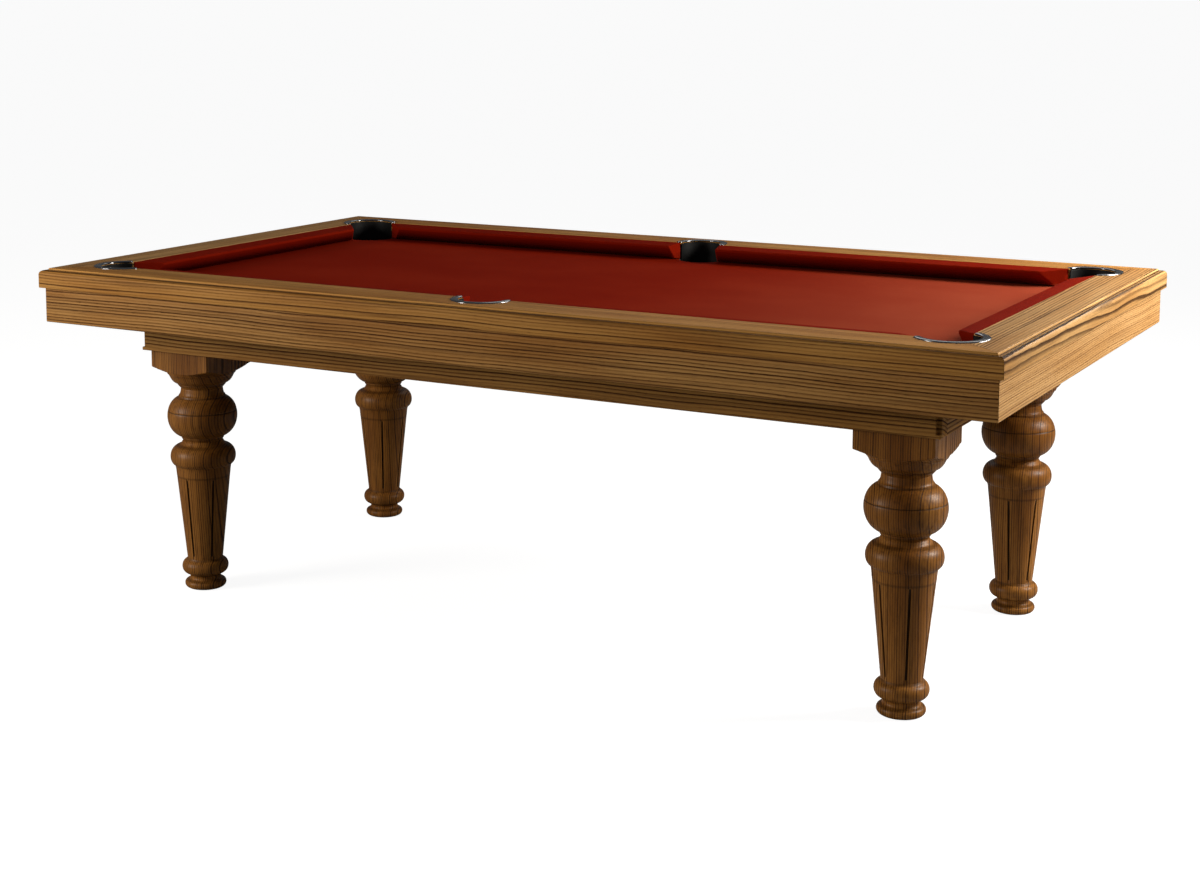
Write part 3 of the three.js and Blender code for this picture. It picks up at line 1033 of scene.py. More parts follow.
# ---- Legs ----
@dataclass
class TurnedLeg:
    """A turned oak leg: one profile round its axis, a square block on top and six flutes.

    Args:
        name: the corner it stands at.
        x: its axis along the table.
        y: its axis across the table.
        turn: quarter turn in degrees.
        height: its height.
        block: side of the square block.
        flutes: how many flutes.
        flute_half: half a flute's width.
        flute_depth: a flute's depth.
        flute_ends: the heights between which the flutes have their full depth.
        score: height and depth of the line cut round the ball.
        creases: heights of the turned lines where shade is painted.
        arris: the square's superellipse exponent, higher for a sharper arris.
    """

    name: str
    x: float
    y: float
    turn: float
    height: float = 0.5937
    block: float = 0.169
    flutes: int = 6
    flute_half: float = 0.0026
    flute_depth: float = 0.0040
    flute_ends: tuple[float, float] = (0.0856, 0.2747)
    score: tuple[float, float] = (0.4412, 0.0011)
    creases: tuple[float, ...] = (0.020, 0.036, 0.073, 0.2807, 0.3557, 0.3737, 0.4760, 0.5057)
    arris: int = 90

    @property
    def step(self) -> float:
        """The angle in radians from one flute to the next."""
        return 2 * math.pi / self.flutes

    def marks(self, recipe: Recipe) -> tuple[Value, Value]:
        """Where shade and highlight are painted on the leg.

        Painted shade lies in the flutes, by the distance round the leg to the nearest one, and in the
        turned lines, by the height from each; the flutes' edges carry a painted highlight.

        Args:
            recipe: the leg's material.

        Returns:
            The two shares.
        """
        a, b, z = recipe.axes()
        a, b = a - self.x, b - self.y
        start = math.radians(self.turn - 90)
        part = ((b.bearing(a) - start) * (1 / self.step) + 0.5).fraction() - 0.5
        off = part.size() * (a * a + b * b).root() * self.step
        span = z.band(0.0822, 0.0838) * z.band(0.2780, 0.2764)
        lines = (z - self.score[0]).size().band(0.0018, 0.0005)
        for height in self.creases:
            lines = lines + (z - height).size().band(0.0042, 0.0006) * 0.55
        # painted shade in the flutes, the scored line and the turned lines; painted highlight on flute
        # edges
        painted_shade = off.band(0.0031, 0.0019) * span * 0.92 + lines * 0.7
        return painted_shade, off.band(0.0062, 0.0034) * span * 0.35

    def profile(self) -> tuple[np.ndarray, np.ndarray]:
        """The turned outline from the foot up.

        Each turned stretch is a cubic curve whose two control radii are (8 swell - r0 - r1) / 6,
        so that it passes through the swell halfway, and whose control heights are eased by 0.15
        of its rise.

        Returns:
            Radii and heights in metres, heights rising.
        """
        top = self.height * 1000
        stops = [  # radius, height, and the radius halfway, or None for a straight cut
            (40, 0, None), (44, 20, 50), (44, 36, 37), (46, 70, 56), (44.5, 72, None),
            (42.7, 75, None), (64, top - 313, None), (69, top - 286, 65.5), (60, top - 238, 78.5),
            (47, top - 226, 51.5), (51, top - 220, None), (51.5, top - 216, None),
            (57, top - 119, 84), (56, top - 115, None), (50, top - 97, 51.5),
            (58, top - 88, None), (58, top - 85, None), (82, top - 60, 74), (84, top - 55, None),
            (121.5, top - 40, None), (121.5, top, None),
        ]
        radii, heights = [np.array([40.0])], [np.array([0.0])]
        for (r0, z0, _), (r1, z1, swell) in zip(stops, stops[1:]):
            count = max(3, int((z1 - z0) / 1.6)) if swell or r1 > 100 else 12
            t = np.linspace(0, 1, count)[1:]
            pull = (r0 + r1) / 2 if swell is None else (8 * swell - r0 - r1) / 6
            rise = (z1 - z0) * (1 / 3 if swell is None else 0.15)
            weights = ((1 - t) ** 3, 3 * t * (1 - t) ** 2, 3 * t * t * (1 - t), t**3)
            straight = r0 + (r1 - r0) * t
            curve = sum(w * r for w, r in zip(weights, (r0, pull, pull, r1)))
            radii.append(straight if swell is None else curve)
            heights.append(sum(w * z for w, z in zip(weights, (z0, z0 + rise, z1 - rise, z1))))
        return np.concatenate(radii) / 1000, np.concatenate(heights) / 1000

    def angles(self) -> np.ndarray:
        """Angles round the leg, closer together at each flute and at the block's arrises.

        Returns:
            The angles in radians, rising from 0.
        """
        local = np.concatenate([np.linspace(-3.4, 3.4, 13), np.linspace(5.5, 54.5, 13)])
        fluted = (-90 + np.arange(self.flutes)[:, None] * math.degrees(self.step) + local).ravel()
        arrises = (45 + 90 * np.arange(4)[:, None] + np.array([-1.5, -0.5, 0, 0.5, 1.5])).ravel()
        return np.radians(np.unique(np.round(np.concatenate([fluted, arrises]) % 360, 4)))

    def skin(self) -> tuple[np.ndarray, np.ndarray, np.ndarray]:
        """The leg's outside as radii over height and angle.

        The radius is the smaller of the turned profile and a square with soft arrises, the
        square's half side over the n-norm of (cos, sin). From it come the flutes, half an
        ellipse deep over the distance to each flute's middle line, and the scored line, a
        narrow bell over the distance to its height.

        Returns:
            Radii (heights, angles), heights and angles.
        """
        radius, z = self.profile()
        angle = self.angles()
        power = self.arris
        norm = (np.abs(np.cos(angle)) ** power + np.abs(np.sin(angle)) ** power) ** (1 / power)
        body = np.minimum(radius[:, None], (self.block / 2 / norm)[None, :])
        low, high = self.flute_ends
        around = (angle + math.pi / 2 + self.step / 2) % self.step - self.step / 2
        past = np.maximum(np.maximum(low - z, z - high), 0.0)
        off = np.hypot(radius[:, None] * around[None, :], past[:, None]) / self.flute_half
        body = body - self.flute_depth * np.sqrt(np.clip(1 - off**2, 0, 1))
        body = body - self.score[1] * np.exp(-(((z - self.score[0]) / 0.0009) ** 2))[:, None]
        return body, z, angle

    def build(self) -> bpy.types.Object:
        """The closed leg, with the recess and the bore of its levelling foot.

        Returns:
            The piece.
        """
        body, z, angle = self.skin()
        hollow = metres(0, 78, 6.4, 78, 6.4, 14, 22, 14, 22, 1, 23, 0, 38.5, 0).reshape(-1, 2)
        bore, rim, chamfer = np.repeat(hollow[:, :1], len(angle), axis=1), body[-1:], 0.001
        radii = np.concatenate([bore, body, rim - chamfer, rim * 0.6, rim * 0.0])
        top = z[-1]
        heights = np.concatenate([hollow[:, 1], z[:-1], [top - chamfer, top, top, top]])[:, None]
        points = polar(self.x, self.y, radii, angle + math.radians(self.turn), heights)
        return Surface(points, crease=32.0).build(f"leg_{self.name}_turned")


@dataclass
class LevellingFoot:
    """A pad and its threaded screw under one leg.

    Args:
        name: the leg's corner.
        x: its axis along the table.
        y: its axis across the table.
        pitch: thread pitch.
        thread: thread depth.
        shank: radius at the thread's crest.
        head: half the hexagon's width over its flats.
        seat: height of the hexagon's underside.
        run: how far above the seat the thread starts and ends.
        tip: how far above the seat the screw's top is.
        ribs: how many ribs the pad's edge has.
    """

    name: str
    x: float
    y: float
    pitch: float = 0.00175
    thread: float = 0.00095
    shank: float = 0.0060
    head: float = 0.0078
    seat: float = 0.0068
    run: tuple[float, float] = (0.0050, 0.0605)
    tip: float = 0.062
    ribs: int = 48

    def pad(self) -> bpy.types.Object:
        """The pad: a rounded profile round the axis.

        Its ribbed edge is r (1 - 0.012 (0.5 - 0.5 cos(ribs angle))), r past 18.5 mm only.

        Returns:
            The piece.
        """
        corners = metres(0, 0.5, 19, 0.5, 20, 2, 20, 3.9, 12.4, 6.5, 0, 6.5).reshape(-1, 2)
        line = eased(corners, metres(0, 0.5, 0.6, 0.8, 0.8, 0), 5, False)
        angle = np.linspace(0, 2 * math.pi, 4 * self.ribs, endpoint=False)
        rib = 1 - 0.012 * (line[:, :1] > 0.0185) * (0.5 - 0.5 * np.cos(self.ribs * angle))
        points = polar(self.x, self.y, line[:, :1] * rib, angle, line[:, 1:])
        return Surface(points).build(f"foot_pad_{self.name}")

    def screw(self) -> bpy.types.Object:
        """The screw: a chamfered hexagon, then a threaded shank.

        The shank's radius falls by the thread's depth times the distance, 0 to 1 to the power
        of 1.3, from the crest line that climbs one pitch a turn, and the thread runs out over
        2 mm at both ends.

        Returns:
            The piece.
        """
        angle = np.linspace(0, 2 * math.pi, 48, endpoint=False)
        low, (start, stop) = self.seat, self.run
        hexagon = self.head / np.cos((angle + math.pi / 6) % (math.pi / 3) - math.pi / 6)
        climb = np.linspace(low + start, low + stop, 380)
        phase = (climb[:, None] / self.pitch - angle / (2 * math.pi)) % 1.0
        ends = ease((climb - climb[0]) / 0.002) * ease((climb[-1] - climb) / 0.002)
        crest = self.shank - self.thread * np.abs(2 * phase - 1) ** 1.3 * ends[:, None]
        head = np.stack([0 * angle, hexagon * 0.93, hexagon, hexagon, hexagon * 0.93])
        radius = np.concatenate([head, crest, crest[-1:] * 0.7, crest[-1:] * 0])
        rise = [low, low, low + 0.0006, low + 0.0044, low + start]
        height = np.concatenate([rise, climb, [low + self.tip, low + self.tip]])[:, None]
        points = polar(self.x, self.y, radius, angle, height)
        return Surface(points, crease=40.0).build(f"foot_screw_{self.name}")


@dataclass
class LegSet:
    """The four legs and their levelling feet.

    Args:
        x: how far the legs' axes lie from the table's middle, along X.
        y: the same along Y.
        oak: the legs' wood, a darker copy of the rails' wood as painted shade under the table.
        plastic: the pads' finish.
        zinc: the screws' finish.
    """

    x: float = 0.889
    y: float = 0.394
    # painted shade: a darker copy of the rails' oak for the legs under the table
    oak: Oak = Oak(
        (0.40, 0.168, 0.034), (0.22, 0.078, 0.012), (0.040, 0.012, 0.002),
        pitch=0.0050, pith=(0.26, 0.11), roughness=0.34, gloss=0.15,
    )
    plastic: Moulded = Moulded(
        (0.012, 0.012, 0.013), (0.05, 0.047, 0.043), roughness=0.5, stipple=900.0, depth=0.0001
    )
    zinc: Metal = Metal((0.55, 0.56, 0.58), roughness=0.32, scratch=0.6)

    def build(self) -> None:
        """Turns, dresses and places the legs, pads and screws."""
        foot_plastic = self.plastic.material("foot_plastic_black")
        zinc = self.zinc.material("zinc_steel_bright")
        corners = (
            ("front_left", -1, -1, 0), ("front_right", 1, -1, 90),
            ("back_right", 1, 1, 180), ("back_left", -1, 1, 270),
        )
        for order, (name, sx, sy, turn) in enumerate(corners):
            x, y = sx * self.x, sy * self.y
            leg = TurnedLeg(name, x, y, turn)
            oak = self.oak.material(f"oak_leg_{name}", Grain.Z, 71 + order, (x, y, 0.3), leg.marks)
            hand_over(leg.build(), "table", f"leg_{name}", oak)
            foot = LevellingFoot(name, x, y)
            body = f"leveller_pad_{name}"
            hand_over(foot.pad(), body, body, foot_plastic)
            body = f"leveller_screw_{name}"
            hand_over(foot.screw(), body, body, zinc)


# ---- Cushions ----
@dataclass
class CushionCover:
    """The cloth over one cushion, from the rail's edge round the nose to the bed.

    Args:
        name: the cushion's name.
        side: the side it lies on.
        rims: where its two ends meet the rail, along the side.
        noses: where its two ends meet the nose line.
        roll: how round the cloth goes over the cushion's ends.
        thickness: the cloth's thickness.
        heart: the middle of the cushion's section, inward and height.
        foot: how low the cloth goes over the cushion's ends.
        rows: stations between the two ends' folds.
        spare: how much of the flat cloth's length goes over each end.
        flap: the mean depth of the cloth that lies on each end.
    """

    name: str
    side: Side
    rims: tuple[float, float]
    noses: tuple[float, float]
    roll: float = 0.0024
    thickness: float = 0.0009
    heart: tuple[float, float] = (0.142, 0.782)
    foot: float = 0.7582
    rows: int = 60
    spare: float = 0.035
    flap: float = 0.015

    @property
    def lengths(self) -> tuple[float, float]:
        """The cushion's length at the rail and at the nose."""
        return abs(self.rims[1] - self.rims[0]), abs(self.noses[1] - self.noses[0])

    def ends(self, inward: np.ndarray) -> list[np.ndarray]:
        """Where the cushion's two slanted ends are, along the side, at a distance inward."""
        slant = (inward - RAIL_WIDTH) / CUSHION_WIDTH
        return [rim + (nose - rim) * slant for rim, nose in zip(self.rims, self.noses)]

    def path(self) -> np.ndarray:
        """The cover's line across the cushion as (inward, height), (points, 2)."""
        corners = metres(118.35, 797.2, 118.35, 799.6, 164, 795.0, 166, 792.8, 166, 789.2, 142, 760.6)
        return eased(corners.reshape(-1, 2), metres(0, 0.9, 1.6, 1.4, 2.2, 0), 6, False)

    def grid(self) -> np.ndarray:
        """The cover's skin.

        Along the cushion the line is carried straight. At each end it turns in over a quarter
        circle of the roll's radius, towards the cushion's heart, and then draws back to an upright
        line at the rail, which covers the slanted face at the pocket.

        Returns:
            The grid, (stations, line points, 3).
        """
        line = self.path()
        inside = np.array(self.heart) - line
        inside /= np.linalg.norm(inside, axis=1, keepdims=True)
        inside[-1] = 0.0
        bend = np.linspace(0, math.pi / 2, 6)
        folds = [line + self.roll * (1 - math.cos(b)) * inside for b in bend]
        upright = np.linspace(folds[-1][0], (line[0, 0], self.foot), len(line))
        draw = (0.15, 0.35, 0.6, 0.85, 1.0)
        fold = np.array(folds + [folds[-1] + (upright - folds[-1]) * k for k in draw])
        tuck = np.concatenate([self.roll * (1 - np.sin(bend)), np.zeros(len(draw))])
        middle = np.broadcast_to(line, (self.rows, *line.shape))
        sections = np.concatenate([fold[::-1], middle, fold])
        inner = np.linspace(0, 1, self.rows + 2)[1:-1]
        share = np.concatenate([np.zeros(len(fold)), inner, np.ones(len(fold))])[:, None]
        back = np.concatenate([tuck[::-1], np.zeros(self.rows), -tuck])[:, None]
        inward = sections[..., 0]
        low, high = self.ends(inward)
        return self.side.place(low + (high - low) * share + back, inward, sections[..., 1])

    def build(self, cloth: bpy.types.Material) -> None:
        """Args:
            cloth: its finish.
        """
        surface = Surface(self.grid(), wraps=False, solid=False, crease=60.0)
        piece = surface.build(f"cover_{self.name}")
        wall = piece.modifiers.new("cloth", "SOLIDIFY")
        wall.thickness, wall.offset, wall.use_even_offset = self.thickness, -1.0, False
        hand_over(piece, "table", f"cushion_cloth_{self.name}", cloth)
        girth = float(np.linalg.norm(np.diff(self.path(), axis=0), axis=1).sum())
        at_rim, at_nose = self.lengths
        at_rim + 2 * self.spare
        girth * ((at_nose + at_rim) / 2 + 2 * self.flap)


@dataclass
class BedCloth:
    """The one cloth over the slates, rolled down into the six throats.

    Args:
        half_length: half its length.
        half_width: half its width.
        roll: radius of the turn over a throat's edge.
        drop: how far it goes down past the turn.
        turned: how much of the flat cloth is turned down all round; not used.
        thickness: the cloth's thickness.
    """

    half_length: float = 1.084
    half_width: float = 0.589
    roll: float = 0.0022
    drop: float = 0.0090
    turned: float = 0.012
    thickness: float = 0.001

    def stations(self) -> np.ndarray:
        """Places along X, close together at the pockets.

        Returns:
            The places, rising, the same on both sides of the middle.
        """
        middle = np.sin(np.linspace(0, math.pi / 2, 36)) * (MIDDLE.hole + self.roll)
        corner = np.linspace(0.9485, 1.056, 64)
        rest = (np.linspace(0.062, 0.94, 30), np.linspace(1.06, self.half_length, 8))
        half = np.unique(np.concatenate([middle, corner, *rest]))
        return np.concatenate([-half[:0:-1], half])

    def edge(self, x: np.ndarray) -> np.ndarray:
        """Half the cloth's width at x.

        It is the full half width, less the circle of each throat: the middle's height minus the
        root of its radius squared minus the distance along squared. Past a corner throat's
        lowest tangent it follows the 45 degree line outward.

        Args:
            x: places along the table.

        Returns:
            The half widths.
        """
        x = np.abs(x)
        width = np.full(x.shape, self.half_width)
        radius = MIDDLE.hole + self.roll
        dip = MIDDLE_Y - np.sqrt(np.maximum(radius**2 - x**2, 0))
        width = np.where(x < radius, dip, width)
        radius = CORNER.hole + self.roll
        dip = CORNER_Y - np.sqrt(np.maximum(radius**2 - (x - CORNER_X) ** 2, 0))
        tangent = CORNER_X + radius * math.sqrt(0.5)
        line = CORNER_Y - radius * math.sqrt(0.5) + (x - tangent)
        width = np.where(x > CORNER_X - radius, dip, width)
        return np.where(x > tangent, line, width)

    def build(self, cloth: bpy.types.Material) -> None:
        """Lays the cloth: y is a share of the half width at x, and past the edge a quarter
        circle and a straight drop along the edge's normal.

        Args:
            cloth: its finish.
        """
        x = self.stations()
        edge = self.edge(x)
        slope = np.gradient(edge, x)
        tilt = np.stack([-slope, np.ones_like(slope)]) / np.hypot(slope, 1)
        bend = np.linspace(0, math.pi / 2, 6)[1:]
        out = np.concatenate([self.roll * np.sin(bend), [self.roll, self.roll]])
        hang = self.roll + self.drop * np.array([0.5, 1])
        down = np.concatenate([self.roll * (1 - np.cos(bend)), hang])
        share = np.linspace(-1, 1, 41)
        flat = np.stack(np.broadcast_arrays(x[:, None], edge[:, None] * share, BED), axis=-1)
        along = x[:, None] + tilt[0][:, None] * out
        across = edge[:, None] + tilt[1][:, None] * out
        front, back = (
            np.stack(np.broadcast_arrays(along, sign * across, BED - down), axis=-1) for sign in (-1, 1)
        )
        points = np.concatenate([front[:, ::-1], flat, back], axis=1)
        piece = Surface(points, wraps=False, solid=False, crease=60.0).build("bed_cloth_laid")
        wall = piece.modifiers.new("cloth", "SOLIDIFY")
        wall.thickness, wall.offset, wall.use_even_offset = self.thickness, -1.0, False
        hand_over(piece, "table", "bed_cloth", cloth)


@dataclass
class PlayingField:
    """The slates, the bed cloth and the six cushions.

    Args:
        worsted: the cloth.
        stone: the slates' finish.
        rubber: the rubbers' finish.
        pine: the sub-rails' wood, nearly black as painted shade where it shows at the cushions' ends.
        setback: how far each rubber and sub-rail ends inside its cover.
        corner: where a long cushion ends at a corner pocket, along its side, at rim and nose.
        middle: where it ends at the middle pocket.
        end: where an end cushion ends at both of its pockets.
    """

    worsted: Worsted = Worsted()
    stone: Moulded = Moulded(
        (0.075, 0.080, 0.088), (0.15, 0.155, 0.16), roughness=0.62, stipple=420.0, depth=0.0003
    )
    rubber: Moulded = Moulded(
        (0.030, 0.028, 0.027), (0.07, 0.065, 0.06), roughness=0.75, stipple=700.0, depth=0.0002
    )
    # painted shade: the sub-rails' pine is nearly black, so where it shows it reads as shade
    pine: Oak = Oak(
        (0.030, 0.016, 0.009), (0.022, 0.012, 0.007), (0.008, 0.004, 0.003), pitch=0.008, roughness=0.7
    )
    setback: float = 0.0040
    corner: tuple[float, float] = (0.9556, 0.9002)
    middle: tuple[float, float] = (0.0550, 0.0650)
    end: tuple[float, float] = (0.4606, 0.4052)

    def covers(self) -> list[CushionCover]:
        """The six cushions' covers.

        Each has its two places at the rail and its two at the nose, along its own side.

        Returns:
            The covers, the long sides first.
        """
        near, far, end = self.middle, self.corner, self.end
        right = tuple(zip(near, far))
        left, both = tuple((-b, -a) for a, b in right), tuple((-a, a) for a in end)
        places = (
            ("front_left", Side.FRONT, left), ("front_right", Side.FRONT, right),
            ("back_left", Side.BACK, right), ("back_right", Side.BACK, left),
            ("left_end", Side.LEFT, both), ("right_end", Side.RIGHT, both),
        )
        return [CushionCover(name, side, *spans) for name, side, spans in places]

    def build(self) -> None:
        """Lays the cloths and dresses what lies under them."""
        cloth = self.worsted.material("red_cloth_napped")
        BedCloth().build(cloth)
        slate, gum = self.stone.material("slate_honed"), self.rubber.material("rubber_moulded")
        for cover in self.covers():
            name, middle = cover.name, middle_of(f"cushion_backer_{cover.name}")
            cover.build(cloth)
            self.core(cover, "rubber", gum)
            painted_shade_pine = self.pine.material(f"pine_backer_{name}", cover.side.grain, 90 + len(name), middle)
            self.core(cover, "backer", painted_shade_pine)
        for word in ("left", "centre", "right"):
            self.dress(f"slate_{word}", slate)

    def core(self, cover: CushionCover, part: str, material: bpy.types.Material) -> None:
        """What a cover goes over: the frame's own solid, cut back inside the cloth at both ends.

        A point's place along the side is held between the two slanted planes that lie the
        setback inside the cover's ends.

        Args:
            cover: the cover.
            part: "rubber" or "backer".
            material: its finish.
        """
        node = f"cushion_{part}_{cover.name}"
        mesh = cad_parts[node].data.copy()
        points = np.empty(3 * len(mesh.vertices), np.float32)
        mesh.vertices.foreach_get("co", points)
        points = points.reshape(-1, 3).astype(float)
        start = cover.side.place(0.0, 0.0, 0.0)
        along = cover.side.place(1.0, 0.0, 0.0) - start
        across = cover.side.place(0.0, 1.0, 0.0) - start
        place = (points - start) @ along
        low, high = cover.ends((points - start) @ across)
        kept = np.clip(place, low + self.setback, high - self.setback)
        points += (kept - place)[:, None] * along
        mesh.vertices.foreach_set("co", points.ravel().astype(np.float32))
        piece = finish_mesh(mesh, f"{part}_{cover.name}", True, 20.0)
        hand_over(piece, "table", node, material)

    def dress(self, node: str, material: bpy.types.Material) -> None:
        """Gives one of the frame's own solids its finish.

        Args:
            node: the node's name.
            material: its finish.
        """
        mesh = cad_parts[node].data
        mesh.materials.clear()
        mesh.materials.append(material)
        LOG.info("%s keeps its own solid in %s", node, material.name)


# ---- Pockets ----
@dataclass
class Pocket:
    """One pocket: the iron let into the rails and the moulded cup under it.

    Args:
        at: its place.
        crown: the iron's top and bottom.
        wide: how much larger the iron's outer circle is than the cup.
        lead: how far outward the outer circle's middle lies.
        point: how long the rounding of the iron's tips is.
        cup: the cup's bottom, its rim under the iron and its rim at the mouth.
    """

    at: PocketPlace
    crown: tuple[float, float] = (0.8027, 0.7973)
    wide: float = 0.015
    lead: float = 0.003
    point: float = 0.0062
    cup: tuple[float, float, float] = (0.6795, 0.7970, 0.7550)

    def iron(self) -> bpy.types.Object:
        """The iron: a crowned bar bent round the pocket, its ends rounded off.

        The bar's inner edge is the cup's radius and its outer edge a circle 15 mm larger whose
        middle lies 3 mm outward. Its section is a superellipse, half width times cos^0.8 and
        half height times sin^0.9, and near each tip the width follows a quarter circle.

        Returns:
            The piece.
        """
        kind = self.at.kind
        reach = kind.reach + 0.012
        far = np.concatenate([1 - np.geomspace(0.0005, 0.12, 16)[:-1], np.linspace(0.88, 0, 40)[:-1]])
        angle = np.sort(np.concatenate([-far, [0.0], far])) * reach
        big = kind.radius + self.wide
        outer = self.lead * np.cos(angle) + np.sqrt(big**2 - (self.lead * np.sin(angle)) ** 2)
        centre, half = (outer + kind.radius) / 2, (outer - kind.radius) / 2
        left = (reach - np.abs(angle)) * kind.radius
        tip = np.sqrt(np.clip(1 - (1 - np.clip(left / self.point, 0, 1)) ** 2, 0, 1))
        turn = np.linspace(0, 2 * math.pi, 28, endpoint=False)
        c, s = np.cos(turn), np.sin(turn)
        wide = np.sign(c) * np.abs(c) ** 0.8
        tall = np.sign(s) * np.abs(s) ** 0.9
        top, low = self.crown
        radius = centre[:, None] + (half * (0.25 + 0.75 * tip) * tip**0.5)[:, None] * wide
        height = (top + low) / 2 + (top - low) / 2 * (tip**0.6)[:, None] * tall
        points = self.at.place(radius, angle[:, None], height)
        return Surface(points, capped=True, crease=50.0).build(f"iron_{self.at.name}")

    def liner(self) -> bpy.types.Object:
        """The cup: a rounded profile round the pocket, cut down to the bed at its mouth.

        The rim's height drops from under the iron to the bed over two degrees at the iron's
        ends, and every height above the cup's lower part is scaled with it.

        Returns:
            The piece.
        """
        kind = self.at.kind
        low, high, mouth = self.cup
        inside, outside = kind.radius, kind.radius + kind.wall
        floor = low + kind.wall
        corners = np.array(
            [(0, low), (outside, low), (outside, high), (inside, high), (inside, floor), (0, floor)]
        )
        line = eased(corners, metres(0, 9, 1.2, 1.2, 14, 0), 7, False)
        turn = np.linspace(0, 2 * math.pi, 361)[:-1]
        near = np.abs((turn + math.pi) % (2 * math.pi) - math.pi)
        rim = mouth + (high - mouth) * ease((kind.reach + 0.02 - near) / 0.03)
        foot = low + 0.025
        share = np.clip((line[:, 1] - foot) / (high - foot), 0, 1)
        height = np.minimum(line[:, 1], foot)[:, None] + share[:, None] * (rim - foot)
        points = self.at.place(line[:, :1], turn[None, :], height)
        return Surface(points, crease=50.0).build(f"cup_{self.at.name}")


@dataclass
class PocketSet:
    """The six pockets.

    Args:
        steel: the irons' finish.
        liner: the cups' finish.
    """

    steel: Metal = Metal((0.26, 0.265, 0.28), roughness=0.16, scratch=0.25)
    liner: Moulded = Moulded(
        (0.0065, 0.0062, 0.006), (0.016, 0.015, 0.014),
        roughness=0.55, stipple=1300.0, depth=0.00016, gloss=0.12,
    )

    def build(self) -> None:
        """Builds and dresses the irons and the cups."""
        steel = self.steel.material("pocket_metal_dark")
        black = self.liner.material("pocket_liner_black")
        for at in pocket_places():
            pocket = Pocket(at)
            hand_over(pocket.iron(), "table", f"pocket_iron_{at.name}", steel)
            hand_over(pocket.liner(), "table", f"pocket_cup_{at.name}", black)


# ---- Studio ----
@dataclass(frozen=True)
class Lamp:
    """A soft box.

    Args:
        name: its name.
        place: its middle.
        aim: the point it faces.
        sides: its width and height.
        power: its power in watts.
        colour: its light's colour.
    """

    name: str
    place: Colour
    aim: Colour
    sides: tuple[float, float]
    power: float
    colour: Colour

    def build(self) -> None:
        """Adds the light."""
        light = bpy.data.lights.new(self.name, "AREA")
        light.shape, light.size, light.size_y = "RECTANGLE", *self.sides
        light.energy, light.color = self.power, self.colour
        lamp = bpy.data.objects.new(self.name, light)
        bpy.context.scene.collection.objects.link(lamp)
        way = np.array(self.aim) - np.array(self.place)
        flat = math.hypot(way[0], way[1])
        lamp.location = self.place
        lamp.visible_camera = False
        lamp.rotation_euler = (math.atan2(flat, -way[2]), 0.0, math.atan2(-way[0], way[1]))


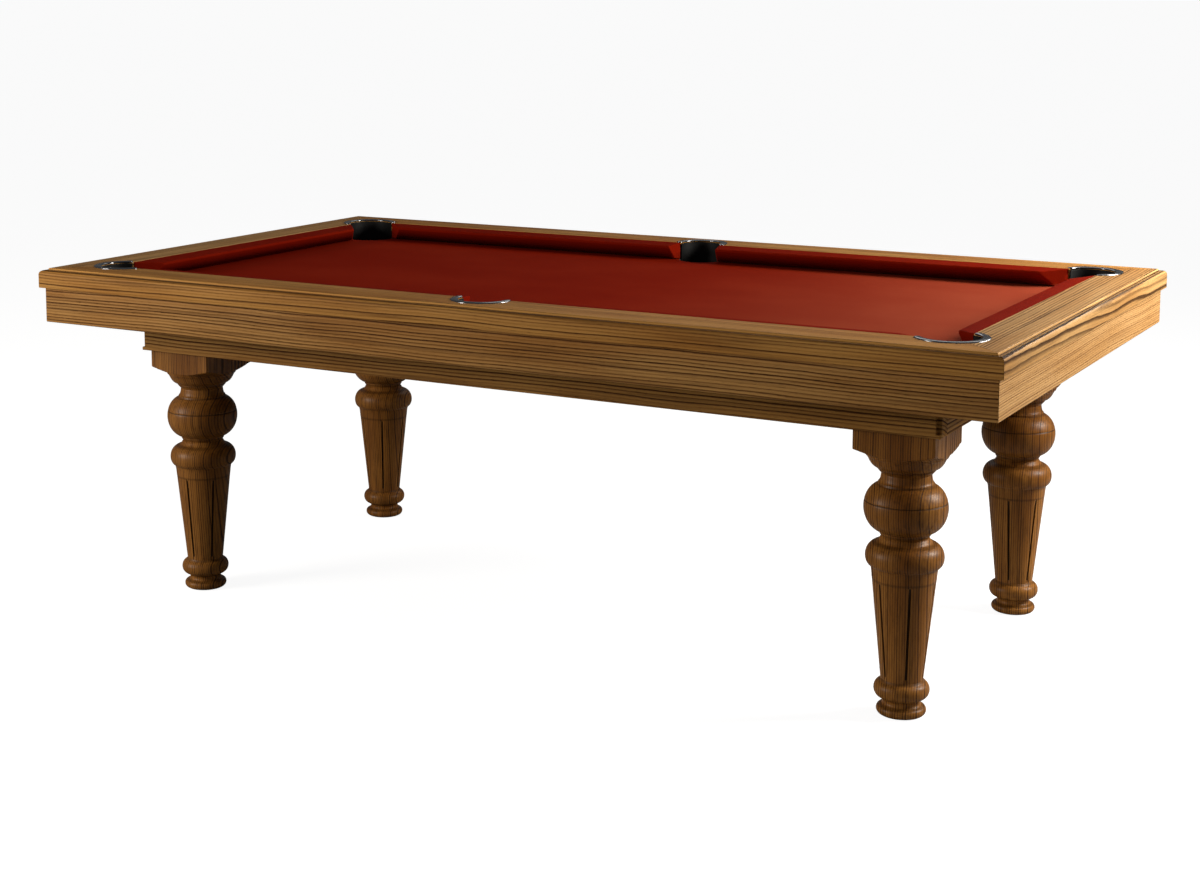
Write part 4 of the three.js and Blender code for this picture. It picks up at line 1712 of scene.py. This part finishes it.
@dataclass
class Studio:
    """The pale floor, the lights, the sky and the camera.

    Args:
        eye: the camera's place.
        pitch: how far it looks down, in degrees.
        yaw: its turn about the vertical, in degrees.
        lens: focal length in millimetres on a 36 mm wide sensor.
        shift: its lens shift.
        sky_power: the sky's strength as a light and as it is seen.
        floor_half: half the floor's width.
        floor_glow: how much the floor shines where it is seen, which doesn't light the table.
        lamps: the soft boxes.
    """

    eye: Colour = (2.1673, -4.1605, 1.4431)
    pitch: float = 7.3158
    yaw: float = 29.7463
    lens: float = 60.195
    shift: tuple[float, float] = (0.0622, -0.16)
    sky_power: tuple[float, float] = (0.10, 1.0)
    floor_half: float = 400.0
    floor_glow: float = 0.92
    lamps: tuple[Lamp, ...] = (
        Lamp("key", (2.9, 1.1, 1.95), (0.8, 0.0, 0.7), (1.1, 1.1), 116.0, (1.0, 0.96, 0.89)),
        Lamp("back", (-0.8, 3.6, 3.2), (0.0, 0.0, 0.8), (3.0, 1.6), 16.0, (1.0, 0.96, 0.92)),
        Lamp("accent", (1.35, 0.85, 1.30), (0.95, 0.0, 0.76), (0.35, 0.35), 6.0, (1.0, 0.96, 0.9)),
        Lamp("front", (-2.9, -3.0, 1.5), (-0.7, -0.6, 0.65), (1.3, 1.3), 88.0, (1.0, 0.95, 0.88)),
    )

    def build(self) -> None:
        """Sets up the floor, the lights, the sky and the camera."""
        self.floor()
        for lamp in self.lamps:
            lamp.build()
        self.sky()
        camera = bpy.data.objects.new("camera", bpy.data.cameras.new("camera"))
        bpy.context.scene.collection.objects.link(camera)
        camera.location = self.eye
        camera.rotation_euler = (math.radians(90 - self.pitch), 0.0, math.radians(self.yaw))
        camera.data.lens, camera.data.sensor_width = self.lens, 36.0
        camera.data.shift_x, camera.data.shift_y = self.shift
        bpy.context.scene.camera = camera

    def floor(self) -> None:
        """A wide, pale, faintly mottled floor."""
        span = np.linspace(-self.floor_half, self.floor_half, 17)
        x, y = np.meshgrid(span, span, indexing="ij")
        points = np.stack([x, y, 0 * x], axis=-1)
        ground = Surface(points, wraps=False, solid=False).build("studio_floor")
        recipe = Recipe("studio_floor_pale")
        mottle = recipe.hills((1.4, 1.4, 1.4))
        tone = recipe.mix(mottle.band(0.3, 0.7) * 0.3, (0.32, 0.32, 0.32), (0.30, 0.30, 0.30))
        seen = recipe.value("ShaderNodeLightPath", None, {}, "Is Camera Ray") * self.floor_glow
        glow = {"Emission_Color": (1.0, 1.0, 1.0), "Emission_Strength": seen}
        ground.data.materials.append(recipe.skin_of(tone, 0.75, Specular_IOR_Level=0.1, **glow))

    def sky(self) -> None:
        """An even sky: white where it is seen, and dimmer as a light."""
        world = bpy.data.worlds.new("studio_sky")
        bpy.context.scene.world = world
        world.use_nodes = True
        shading = Shading(world.node_tree)
        seen = shading.value("ShaderNodeLightPath", None, {}, "Is Camera Ray")
        dim, full = self.sky_power
        power = shading.value("ShaderNodeMapRange", None, {"Value": seen, "To Min": dim, "To Max": full})
        background = world.node_tree.nodes["Background"]
        shading.feed(background, {"Color": (0.97, 0.98, 1.0), "Strength": power})
        bpy.context.scene.view_settings.view_transform = "Standard"


def main() -> None:
    """Builds the table's sub-assemblies and the studio."""
    logging.basicConfig(level=logging.INFO, format="%(name)s: %(message)s")
    for assembly in (RailSet(), Underframe(), LegSet(), PlayingField(), PocketSet(), Studio()):
        LOG.info("building %s", type(assembly).__name__)
        assembly.build()


if __name__ == "__main__":
    main()
